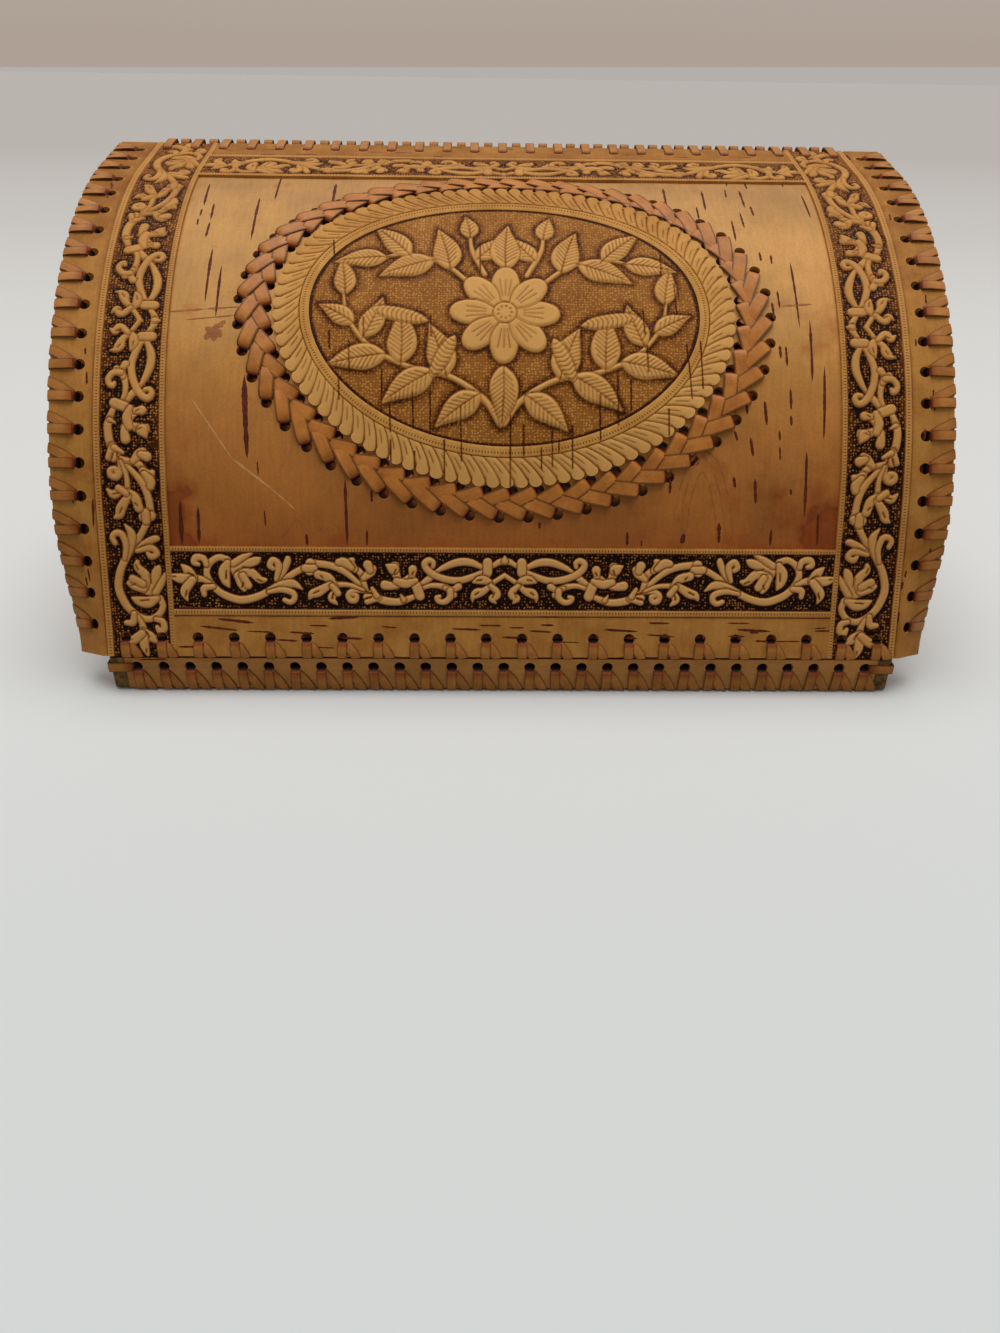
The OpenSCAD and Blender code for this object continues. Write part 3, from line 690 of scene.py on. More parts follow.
# %% [markdown]
# ### Borders
# Across each strip lie a raised line, the scroll on its pricked ground, a second raised line and
# a plain margin for the stitches. The stain is rubbed in most at the front, and least at the top.

# %% Borders
FIELD_IN, FIELD_OUT, LINE_OUT = 2.5, 26.5, 29.5


def ridge(v, low, high, soft=0.5):
    return smooth((v - low) / soft) * smooth((high - v) / soft)


def strip_relief(u, v, strength):
    w = v - FIELD_IN
    inside = (v > FIELD_IN) & (v < FIELD_OUT)
    lines = ridge(v, 0.1, 2.3) + ridge(v, 26.7, LINE_OUT)
    height = np.where(inside, scroll.look(scroll.height, np.abs(u), w) - 0.4, 0.2 * lines)
    height = height - 0.35 * ridge(v, 26.3, 26.9, 0.25) - 0.3 * ridge(v, 29.5, 30.3, 0.3)
    edge = np.maximum(ridge(v, 26.2, 26.95, 0.3), 0.8 * ridge(v, 29.5, 30.3, 0.35))
    edge = np.maximum(ridge(v, 2.1, 2.8, 0.3), edge)
    ground = np.where(inside, scroll.look(scroll.pricked, np.abs(u), w), 0)
    stain = np.maximum(np.where(inside, scroll.look(scroll.stain, np.abs(u), w), 0.0), edge) * strength
    stain = stain + np.where(v > 30, 0.3 * smooth((0.66 - strength) / 0.16), 0)     # the margin darkens upwards
    raised = np.where(inside, (1 - ground) * strength ** 2, 0.35 * lines)
    dots = 0.9 * (np.exp(-((v - 1.2) / 0.35) ** 2) + np.exp(-((v - 28.1) / 0.35) ** 2))
    pricked = ground * (0.25 + 0.75 * strength)
    return dict(height=height, stain=stain, pricked=pricked, raised=raised, dots=dots, run=u)


fine = np.concatenate([[0, 0.15], np.arange(0.5, 30.4, 0.45)])
across = np.concatenate([fine, np.linspace(31.5, BORDER_W, 9)])
along = np.linspace(0, LID_LEN, 620)


def border(name, x, s, u, v, strength, under, holes):
    values = strip_relief(u, v, strength)
    height = values.pop("height") + margin_height(x, s)
    piece = flat_sheet("border_strip_" + name, x, s, height, STRIP_T, under, **values)
    punch(piece, holes)
    lay_on_lid(piece, 0, border_bark, "border_" + name, 55)


inner_x = LID_W / 2 - BORDER_W
for name, side in (("left", -1), ("right", 1)):
    xs = np.sort(side * (inner_x + across))
    x, s = np.meshgrid(xs, along)
    under = [0, len(xs) - 1] + [int(np.argmin(np.abs(np.abs(xs) - k))) for k in (FOLD_X, 178, 183)]
    holes = [h for h in side_holes if h[0] * side > 0]
    holes += [h for h in front_holes + back_holes if h[0] * side > inner_x]
    border(name, x, s, s - LID_LEN / 2, np.abs(x) - inner_x, 0.84 - 0.38 * smooth(s / LID_LEN), under, holes)
for name, strength, row_holes in (("front", 1.0, front_holes), ("back", 0.55, back_holes)):
    back = name == "back"
    ss = np.sort(LID_LEN - BORDER_W + across) if back else np.sort(BORDER_W - across)
    x, s = np.meshgrid(np.linspace(-inner_x, inner_x, 620), ss)
    v = s - (LID_LEN - BORDER_W) if back else BORDER_W - s
    border(name, x, s, x, v, strength, [0, 619], [h for h in row_holes if abs(h[0]) < inner_x + HOLE_R])

# %% [markdown]
# ## Medallion
# The medallion is an oval sheet with a rim of slanted petals round a raised, pricked line. The
# petals are drawn by formula: each is a slice of the rim that leans and bends towards the line,
# domed across, with a short groove for its vein and a rounded tip.

# %% Medallion rim
TILT = radians(-1.5)
PETALS = 90
field_oval = Oval(-0.3, 149.2, 82.8, 59.5, -1.5)
tip_oval = Oval(-0.3, 149.4, 98.0, 76.8, -1.5)


def rim_relief(phase, share):
    """share runs from 0 at the inner edge to 1 at the petals' tips."""
    line_end = 0.27
    r = np.clip((share - line_end) / (1 - line_end), 0, 1)
    petal = (phase * PETALS - 1.35 * (1 - r) ** 1.9) % 1.0 - 0.5
    dome = np.clip(1 - (2 * np.abs(petal)) ** 3.2, 0, 1)
    seam = np.exp(-((0.5 - np.abs(petal)) / 0.055) ** 2)
    vein = np.exp(-((petal - 0.06) / 0.05) ** 2) * smooth((0.62 - r) / 0.15) * smooth((r - 0.12) / 0.1)
    is_line = share < line_end
    step = np.exp(-((share - line_end) / 0.012) ** 2)
    petal_height = 0.32 * dome - 0.2 * seam - 0.25 * vein
    height = np.where(is_line, 0.2 * smooth(share / 0.05), petal_height) - 0.3 * step
    stain = np.where(is_line, 0.0, np.maximum(0.85 * seam, 0.75 * vein))
    dots = 0.9 * np.exp(-((share - 0.15) / 0.022) ** 2)
    return height, np.maximum(stain, 0.85 * step), dots


# Long pores of the sheet run through petals and picture alike: x, s at the top, x, s at the foot
MEDALLION_PORES = [
    (-47.9, 92.1, -47.8, 82.6), (-38, 87.4, -38, 80.3), (-25.6, 92.2, -25.5, 75.8), (-18.4, 92.3, -18.4, 83.6),
    (1.9, 102.8, 2.1, 71.1), (7.5, 98.7, 7.6, 86.2), (15, 89.3, 15.1, 80.7), (19.5, 97.5, 19.6, 81.5),
    (22.3, 92.6, 22.3, 87.8), (27.9, 98.8, 28.1, 80.8), (-10.9, 185.7, -10.8, 169), (-51.8, 122, -51.6, 104.1),
    (-39, 112.2, -38.5, 97), (-31.6, 113.9, -31.4, 94.7), (-18.8, 106, -18.7, 92.3),
    (-65.8, 134.6, -65.3, 120.2), (-74.2, 139.3, -73.9, 131), (-59.9, 145.3, -59.7, 136.5),
    (-69.7, 119.3, -69.4, 108.7), (-48.5, 107.3, -48, 95.4), (-74.5, 185.8, -73.8, 177.9),
    (-31.8, 146.4, -31.2, 136.6), (76.4, 133.9, 78.1, 110.3), (82.1, 135.2, 82.7, 114.6),
    (67.5, 179.9, 66.9, 167.2), (72.2, 163.5, 72.6, 148), (58.3, 150.6, 58.7, 138.5),
    (59.5, 133.7, 59.8, 121.6), (68.3, 105.8, 68.4, 94.7), (39.4, 111.5, 39.7, 92.7), (47, 122.4, 47.2, 99),
    (52.5, 118.1, 52.6, 105.3)]


def pores_at(x, s):
    found = np.zeros_like(x)
    for x0, s0, x1, s1 in MEDALLION_PORES:
        t = np.clip((s0 - s) / (s0 - s1), 0, 1)
        away = np.hypot(x - x0 - (x1 - x0) * t, s - s0 + (s0 - s1) * t)
        found = np.maximum(found, 0.9 * np.clip(1.5 - away / 0.32, 0, 1))
    return found


phase, share = np.meshgrid(np.arange(PETALS * 16) / (PETALS * 16), np.linspace(0, 1, 46), indexing="ij")
x0, s0 = field_oval.at(tip_oval.angle(phase))
x1, s1 = tip_oval.at(tip_oval.angle(phase))
petal = (phase * PETALS) % 1.0 - 0.5
drop = 0.2 * (1 - np.sqrt(np.clip(1 - (1.9 * petal) ** 2, 0, 1)))
reach = share * (1 - drop * smooth((share - 0.6) / 0.4))
x, s = x0 + (x1 - x0) * reach, s0 + (s1 - s0) * reach
height, stain, dots = rim_relief(phase, share)
# The rim darkens towards the hinge, and its petals are paler towards the front
stain = np.maximum(stain * 0.9, pores_at(x, s)) + 0.14 * smooth((s - 185) / 35)
raised = 0.5 * smooth((210 - s) / 90) * (share > 0.3)
rim_piece = flat_sheet("medallion_rim", x, s, height, STRIP_T, [0, 15, 30, 45], ring=True,
                       stain=stain, dots=dots, run=phase * tip_oval.length * 0.86, raised=raised)
lay_on_lid(rim_piece, 0, medallion_bark, "medallion", 60)

# %% [markdown]
# ### Medallion picture
# The field holds a plain birch spray of this notebook's own: leaves and catkins round a blossom,
# the same on both sides. Leaves are wide strokes, and their veins are cut in afterwards.

# %% Medallion picture
spray = Pattern(-84, 84, -61, 61, 0.25)


def turned(points, x, y, angle, flip):
    c, d = cos(angle), sin(angle)
    return [(flip * (x + px * c - py * d), y + px * d + py * c, *rest) for px, py, *rest in points]


def twig(points, flip):
    spray.press([(flip * px, py, half) for px, py, half in points])


def leaf(x, y, degrees, long, wide, flip=1):
    a = radians(degrees)
    blade = [(0, 0, .5), (.12 * long, 0, .55 * wide), (.32 * long, .02 * long, wide), (.55 * long, .03 * long, .8 * wide),
             (.8 * long, .01 * long, .36 * wide), (long, -.02 * long, .1)]
    spray.press(turned(blade, x, y, a, flip), soft=1.4)
    spray.cut(turned([(-.08 * long, 0), (.4 * long, .02 * long), (.92 * long, 0)], x, y, a, flip), 0.18)
    for k in np.linspace(0.1, 0.78, max(4, int(long / 2.6))):
        reach = wide * 0.95 * sin(pi * min(1, (k + 0.16) / 1.02)) ** 0.8
        for side in (-1, 1):
            vein = [(k * long, 0.01 * long), (k * long + reach * 0.75, side * reach * 0.9)]
            spray.cut(turned(vein, x, y, a, flip), 0.1, 0.2)


def catkin(x, y, degrees, long, wide, flip=1):
    a = radians(degrees)
    body = [(0, 0, .6), (.2 * long, 0, .8 * wide), (.55 * long, 0, wide), (.85 * long, 0, .8 * wide), (long, 0, .4 * wide)]
    spray.press(turned(body, x, y, a, flip), soft=1.2)
    for k in np.arange(0.06, 0.98, 2.1 / long):
        half = wide * sin(pi * (0.12 + 0.82 * k)) ** 0.6
        scale = [(k * long, -half), (k * long + 1.1, 0), (k * long, half)]
        spray.cut(turned(scale, x, y, a, flip), 0.12, 0.25)


def blossom(x, y, radius, petals):
    wide = radius * 0.9 * sin(pi / petals)
    petal = [(.25 * radius, 0, .3 * wide), (.6 * radius, 0, .8 * wide), (.85 * radius, 0, .72 * wide), (radius, 0, .3 * wide)]
    for k in range(petals):
        a = 2 * pi * k / petals + pi / 2
        spray.press(turned(petal, x, y, a, 1), soft=1.3)
        for side in (-.35, 0, .35):
            spray.cut(turned([(.38 * radius, side * wide * .5), (.78 * radius, side * wide)], x, y, a, 1), 0.1, 0.2)
    spray.press([(x, y, .24 * radius), (x + 0.01, y, .24 * radius)])
    for k in range(9):
        a = 2 * pi * k / 9
        stamen = [(x + r * radius * cos(a), y + r * radius * sin(a)) for r in (.13, .15)]
        spray.cut(stamen, 0.2, 0.25)


for flip in (-1, 1):
    twig([(1, -50, 1.3), (8, -40, 1.3), (22, -31, 1.2), (40, -27, 1.1), (56, -19, 1), (66, -6, .8), (69, 8, .5)], flip)
    twig([(14, 12, 1.1), (28, 24, 1.1), (44, 28, 1), (57, 24, .7)], flip)
    twig([(9, 18, 1.1), (15, 32, 1), (16, 46, .5)], flip)
    for x, y, degrees, long, wide in [
            (10, -38, -38, 23, 5.6), (24, -30, 72, 24, 6), (30, -29, -34, 25, 6), (43, -25, 88, 24, 6.2),
            (50, -22, -12, 25, 5.8), (59, -14, 112, 20, 5), (64, -8, 30, 17, 4.4), (68, 6, 82, 19, 4.6),
            (24, 21, 76, 24, 6), (32, 25, -22, 24, 6), (42, 28, 46, 23, 5.4), (52, 26, -8, 22, 5),
            (12, 27, 128, 17, 4.6), (16, 40, 80, 14, 4)]:
        leaf(x, y, degrees, long, wide, flip)
    catkin(33, -6, 12, 22, 3.4, flip)
    catkin(21, -13, -64, 19.1, 3.2, flip)
leaf(0, -26, -90, 26, 6)
leaf(0, 22, 90, 26, 6.4)
blossom(0, -1, 21, 8)
spray.settle(0.12, 0.95, 1.9)
print("raised share of the picture", round(float((spray.pricked < 0.5).mean()), 3))

# The field is a square grid that is pulled out to an oval a little wider than the rim's inner edge
a, b = np.meshgrid(np.linspace(-1, 1, 344), np.linspace(-1, 1, 250))
px, py = 83.1 * a * np.sqrt(1 - b * b / 2), 59.8 * b * np.sqrt(1 - a * a / 2)
rim_near = np.hypot(px / field_oval.wide, py / field_oval.high)
height = spray.look(spray.height, px, py) * smooth((1 - rim_near) / 0.02) - 0.4
ground = spray.look(spray.pricked, px, py)
stain = np.maximum(spray.look(spray.stain, px, py) * 0.72, 0.9 * smooth((rim_near - 0.972) / 0.02))
x = field_oval.x + px * cos(TILT) - py * sin(TILT)
s = field_oval.s + px * sin(TILT) + py * cos(TILT)
field = flat_sheet("medallion_field", x, s, height, STRIP_T, [0, 343], stain=np.maximum(stain * 0.95, pores_at(x, s)),
                   pricked=ground * 0.38, raised=(1 - ground) * 0.5)
lay_on_lid(field, 0, medallion_bark, "medallion", 60)

# %% [markdown]
# ## Straps
# All the lacing is made of narrow strips split from thin bark. One strip is modelled: a bar that
# is subdivided along its length, with its upper face a little crowned. Each stitch is a copy that
# is wound along a short path, so that it comes out of its hole, turns round the edge and goes in.

# %% One strip
STRAP_W, STRAP_T = 4.2, 0.6


def model_strip(width, thick, parts):
    bpy.ops.object.select_all(action="DESELECT")
    bpy.ops.mesh.primitive_cube_add(size=1, location=(0, 0.5, 0), scale=(width, 1, thick))
    strip = bpy.context.object
    bpy.ops.object.transform_apply(location=True, rotation=True, scale=True)
    for axis, cuts in ((1, parts - 1), (0, 1)):
        bpy.ops.object.mode_set(mode="EDIT")
        bpy.ops.mesh.select_mode(type="EDGE")
        bpy.ops.mesh.select_all(action="DESELECT")
        bpy.ops.object.mode_set(mode="OBJECT")
        vertices = strip.data.vertices
        for edge in strip.data.edges:
            step = vertices[edge.vertices[0]].co - vertices[edge.vertices[1]].co
            edge.select = abs(step[axis]) > 0.9 * max(abs(v) for v in step)
        bpy.ops.object.mode_set(mode="EDIT")
        bpy.ops.mesh.subdivide(number_cuts=cuts)
        bpy.ops.object.mode_set(mode="OBJECT")
    shape = points_of(strip)
    shape[:, 2] += np.where(np.abs(shape[:, 0]) < 0.01, 0.12, 0) * np.sign(shape[:, 2])
    faces = [list(face.vertices) for face in strip.data.polygons]
    bpy.data.objects.remove(strip)
    print("strip", len(faces), "faces")
    return shape, faces


strip = model_strip(STRAP_W, STRAP_T, 13)


def wind(path, turn=1):
    """path: points (a, q, n); the strip's width lies along q. turn says on which side the crown is."""
    shape, _ = strip
    path = np.asarray(path, float)
    forward = np.gradient(path, axis=0)
    forward /= np.linalg.norm(forward, axis=1)[:, None]
    side = np.array([0, 1, 0]) - forward[:, 1:2] * forward
    side /= np.linalg.norm(side, axis=1)[:, None]
    out = turn * np.cross(forward, side)
    t = shape[:, 1] * (len(path) - 1)
    i = np.clip(t.astype(int), 0, len(path) - 2)
    f = (t - i)[:, None]

    def between(values):
        return values[i] * (1 - f) + values[i + 1] * f
    return between(path) + shape[:, :1] * between(side) + shape[:, 2:] * between(out)


def lace(name, stitches, place, material, body, *nodes, strip=strip, slot="lacing_bark", long=38,
         dark=(1.3, 2.6, 11.0, 12.0)):
    """dark: between which cross sections of the strip the shade of the hole ends, and where it starts again."""
    shape, faces = strip
    count = len(stitches)
    points = np.concatenate([place(*stitch.T) for stitch in stitches])
    quads = np.concatenate([np.array(faces) + k * len(shape) for k in range(count)])
    corners = points[quads]
    volume = sum(np.einsum("ij,ij->i", corners[:, 0], np.cross(corners[:, k], corners[:, k + 1])).sum()
                 for k in (1, 2))
    piece = new_object(name, points, quads if volume > 0 else quads[:, ::-1])
    starts = np.repeat(np.arange(count) * 53.7, len(shape))     # no two straps show the same grain
    across, along = np.tile(shape[:, 0], count), np.tile(shape[:, 1] * long, count) + starts
    add_uv(piece, "along_strap", np.column_stack([across, along]))
    t = shape[:, 1] * round(len(shape) / 6 - 1)
    tucked = np.maximum(smooth((dark[1] - t) / (dark[1] - dark[0])), smooth((t - dark[2]) / (dark[3] - dark[2])))
    add_values(piece, "tucked", np.tile(tucked, count))
    finish_piece(piece, material, body, nodes, 50)


# %% [markdown]
# ### Edge stitches of the lid
# At every hole two straps go over the edge. One crosses it square, and under it lies a second
# that slants along the edge to the next hole, as a lace does that runs on from hole to hole.

# %% Edge stitches
def loop_path(reach, thick, q, shift=0.0, advance=0.0, lift=0.0, seed=0):
    """From the hole at a = reach, over the outer face, round the edge at a = 0, and back inside.

    Each row: a, n, the share of the slant over the outer face, the share of the way on along the inner one."""
    u = np.random.default_rng(seed).uniform(-1, 1, 4)
    out = 0.35 + lift
    a, n, share, back = np.array([
        (reach - .7, 2.6, 0, 0), (reach - 1.6, .8, .04, 0), (reach - 2.6, -out, .12, 0),
        (reach * .5, -out - .1 + .08 * u[0], .5, 0), (1.2, -.42 - .3 * lift, .9, 0), (-.25, -.1, 1, 0),
        (-.5, thick * .3, 1, 0), (-.5, thick * .7, 1, 0), (-.25, thick + .1, 1, .05), (1.2, thick + .4, 1, .15),
        (reach * .5, thick + .45, 1, .6), (reach - 1.0, thick + .42, 1, .95), (reach + 1.2, thick + .42, 1, 1),
        (reach + 2.6, thick + .38, 1, 1)]).T
    return np.stack([a, q + .35 * u[1] + (shift + .4 * u[2]) * share + (advance - shift) * back, n], 1)


def edge_stitches(rows, reach, thick, shift, seed):
    pitch = rows[1] - rows[0]
    out = []
    for k, q in enumerate(rows):
        out.append(wind(loop_path(reach, thick, q, lift=0.55, seed=seed + k)))
        out.append(wind(loop_path(reach, thick, q, shift, pitch * np.sign(shift), seed=seed + 100 + k)))
    return out


lace("lacing_lid_front", edge_stitches(front_row, FRONT_REACH, LID_T, 5.0, 10), lambda a, q, n: on_lid(q, a, n),
     strap_bark, "lid", "lid_lacing_front")
for name, side in (("left", -1), ("right", 1)):
    lace("lacing_lid_" + name, edge_stitches(side_row, SIDE_REACH, LID_T, 6.0, 200),
         lambda a, q, n: on_lid(side * (LID_W / 2 - a), q, n), strap_bark, "lid", "lid_lacing_" + name)

# %% [markdown]
# ### Hinge
# The hinge is only lacing: loops of the lid and loops of the back wall lie side by side and turn
# round the same line, which is a few millimetres past both edges.

# %% Hinge stitches
def hinge_stitches(row, thick, gap, seed):
    """gap: from the edge to the line that the loops turn round."""
    mid, r, reach = thick / 2, thick / 2 + 0.35, FRONT_REACH
    bow = [(-gap - r * sin(t), mid - r * cos(t)) for t in np.linspace(0, pi, 6)]
    pairs = [(reach + .5, 1.6), (reach - .5, .4), (reach - 1.3, -.4), (0, -.4), *bow,
             (0, thick + .4), (reach - 1.3, thick + .4), (reach - .5, thick - .4), (reach + .4, thick - 1.6)]
    out = []
    for k, q in enumerate(row):
        u = np.random.default_rng(seed + k).uniform(-1, 1, 2)
        out.append(wind([(a, q + .3 * u[0], n) for a, n in pairs]))
    return out


HINGE_DARK = (0.5, 1.6, 12.2, 13)
lace("hinge_loops_lid", hinge_stitches(hinge_row, LID_T, 4.0, 300), lambda a, q, n: on_lid(q, LID_LEN - a, n),
     strap_bark, "lid", "hinge_lacing_lid", dark=HINGE_DARK)
lace("hinge_loops_wall", hinge_stitches(wall_row, TRAY_T, 4.5, 400),
     lambda a, q, n: np.stack([q, BACK_Y - n, WALL_TOP - a], -1) * MM,
     strap_bark, "tray", "hinge_lacing_wall", dark=HINGE_DARK)

# %% [markdown]
# ### Stitches of the tray
# Round the bottom edge each stitch goes down the wall, under the edge, up through the bottom and
# back to its hole. The corners and the end panels' rims are laced in the same way.

# %% Tray stitches
BOARD_Z, INSIDE_Z, HOLE_Z = 1.2, 6.4, 12.0


def corner_path(hole1, t1, hole2, t2, q, shift=0.0, advance=0.0, lift=0.0, seed=0):
    """Round an outer corner: from the hole at n = hole1 down to the corner, along to a = hole2, and back inside.

    Each row: a, n, the share of the slant, the share of the way on along the inside."""
    u = np.random.default_rng(seed).uniform(-1, 1, 4)
    out = .35 + lift
    a, n, share, back = np.array([
        (2.6, hole1 - .6, 0, 0), (.8, hole1 - 1.5, .03, 0), (-out, hole1 - 2.5, .1, 0),
        (-out - .1, hole1 * .45, .55, 0), (-.4, .6, .95, 0), (-.25, -.2, 1, 0), (.6, -.32, 1, .1),
        (hole2 - 1.2, -.35, 1, .55), (hole2, .8, 1, .6), (hole2, t2 - .4, 1, .65), (hole2 - .8, t2 + .4, 1, .7),
        (t1 + .7, t2 + .5, 1, .95), (t1 + .4, hole1 - .8, 1, 1), (t1 - 1.4, hole1 + .2, 1, 1)]).T
    return np.stack([a, q + .3 * u[1] + (shift + .4 * u[2]) * share + (advance - shift) * back, n], 1)


def base_stitches(rows, seed, shift=6.0, pitch=None):
    pitch = pitch or rows[1] - rows[0]
    hole1, hole2, inside = HOLE_Z - BOARD_Z, FLOOR_REACH, INSIDE_Z - BOARD_Z
    out = []
    for k, q in enumerate(rows):
        square = corner_path(hole1, TRAY_T, hole2, inside, q, lift=.5, seed=seed + k)
        slanted = corner_path(hole1, TRAY_T, hole2, inside, q, shift, pitch, seed=seed + k + int(shift) * 10)
        out += [wind(square, -1), wind(slanted, -1)]
    return out


def post_stitches(rows, seed):
    """Round an upright corner of the tray."""
    reach = (CORNER_REACH, TRAY_T) * 2
    return [wind(corner_path(*reach, z, seed=seed + k), -1) for k, z in enumerate(rows)]


def in_tray(x, y, z):
    return np.stack([x, y, z], -1) * MM


# The front has two more stitches between its row and the corners
base_front = base_stitches(tray_row, 500) + base_stitches([-159.0, 159.0], 560, 5.0, 9.0)
base_back, base_side = base_stitches(tray_row, 500), base_stitches(tray_side_row, 500)
for name, stitches, place in (("front", base_front, lambda a, q, n: in_tray(q, FRONT_Y + a, BOARD_Z + n)),
                              ("back", base_back, lambda a, q, n: in_tray(q, BACK_Y - a, BOARD_Z + n)),
                              ("left", base_side, lambda a, q, n: in_tray(-TRAY_W / 2 + a, q, BOARD_Z + n)),
                              ("right", base_side, lambda a, q, n: in_tray(TRAY_W / 2 - a, q, BOARD_Z + n))):
    lace("lacing_base_" + name, stitches, place, strap_bark, "tray", "base_lacing_" + name)

rim_loops = [wind(loop_path(RIM_REACH, TRAY_T, s, seed=700 + k)) for k, s in enumerate(rim_row)]
for name, side in (("left", -1), ("right", 1)):
    lace("lacing_corner_front_" + name, post_stitches([HOLE_Z], 0),
         lambda a, q, n: in_tray(side * (TRAY_W / 2 - n), FRONT_Y + a, q),
         strap_bark, "tray", "corner_lacing_front_" + name)
    lace("lacing_corner_back_" + name, post_stitches(corner_row, 600),
         lambda a, q, n: in_tray(side * (TRAY_W / 2 - n), BACK_Y - a, q),
         strap_bark, "tray", "corner_lacing_back_" + name)
    lace("lacing_rim_" + name, rim_loops, lambda a, q, n: on_lid(side * (TRAY_W / 2 - n), q, LID_T + 1 + a),
         strap_bark, "tray", "rim_lacing_" + name)

# %% [markdown]
# ### Braid
# The medallion is held by a flat braid. A strap leaves every hole of both rows and slants across
# to the other row, two holes further round. It lies over its neighbours near its own hole and
# dives under the next ones at its far end, which is what makes the herringbone look. On the
# inside of the lid short straps join the two rows.

# %% Braid
broad = model_strip(6.2, 0.5, 11)
OVER = np.array([-1.8, -.9, .1, 1.0, 1.45, 1.5, 1.45, 1.35, 1.1, .7, .4, .28])
UNDER = np.array([-1.8, -.9, .1, 1.0, 1.3, 1.2, .95, .75, .55, .42, .34, .28])
INSIDE = np.array([-2.9, -3.1, -3.3, -3.4, -3.4, -3.4, -3.4, -3.4, -3.4, -3.3, -3.1, -2.9])
STEPS = np.array([1.0, 1.2, 1.6, 2.6, 4.0, 5.8, 8.0, 10.4, 12.8, 15.2, 17.4, 19.0])
WIDTHS = np.array([.5, .62, .8, .97, 1, 1, 1, 1, 1, 1, 1, 1])


def braid_strap(start, finish, lift, steps, width, seed):
    """lift, steps and width: the height, the way from the hole and the relative width at each cross section."""
    u = np.random.default_rng(seed).uniform(-1, 1, 3)
    way = (finish - start) / np.linalg.norm(finish - start)
    normal = np.array([-way[1], way[0]])
    points = start + np.outer(steps, way) + 0.25 * u[1] * normal
    shape, _ = broad
    i = np.round(shape[:, 1] * (len(steps) - 1)).astype(int)
    slope = np.gradient(lift, steps)[i]
    lean = np.hypot(1, slope)
    sideways = np.outer(shape[:, 0] * width[i] * (1 + 0.04 * u[0]), normal)
    flat = points[i] + sideways - np.outer(shape[:, 2] * slope / lean, way)
    return np.column_stack([flat, lift[i] + shape[:, 2] / lean])


def outer_at(k):
    return np.array(outer_oval.place(k / RING))


def inner_at(k):
    return np.array(inner_oval.place(k / RING))


def on_panel(x, s, h):
    return on_lid(x, s, STRIP_T - h)


straps, ties = [], []
for k in range(RING):
    straps.append(braid_strap(outer_at(k), inner_at(k + 2.0), OVER, STEPS, WIDTHS, 800 + k))
    straps.append(braid_strap(inner_at(k + 0.5), outer_at(k + 2.5), UNDER, STEPS * 0.96, WIDTHS, 900 + k))
    near, far = inner_at(k + 0.5), outer_at(k + 1)
    steps = np.linspace(-2.2, np.linalg.norm(far - near) + 2.2, 12)
    ties.append(braid_strap(near, far, INSIDE, steps, np.full(12, 0.9), 950 + k))
lace("braid", straps, on_panel, braid_bark, "lid", "medallion_lacing", strip=broad, slot="braid_bark",
     long=20, dark=(1.4, 3.2, 20, 21))
lace("braid_inside", ties, on_panel, braid_bark, "lid", strip=broad, slot="braid_bark",
     long=14, dark=(0.6, 2.2, 8.8, 10.4))

# %% [markdown]
# ## Lenticels
# Birch bark breathes through lenticels, thin dark slits that run round the trunk. One sliver is
# modelled, a long lens with a low crown, and copied to each place, stretched to its length. The
# same sliver makes the reddish lines and the pale scratch on the panel.

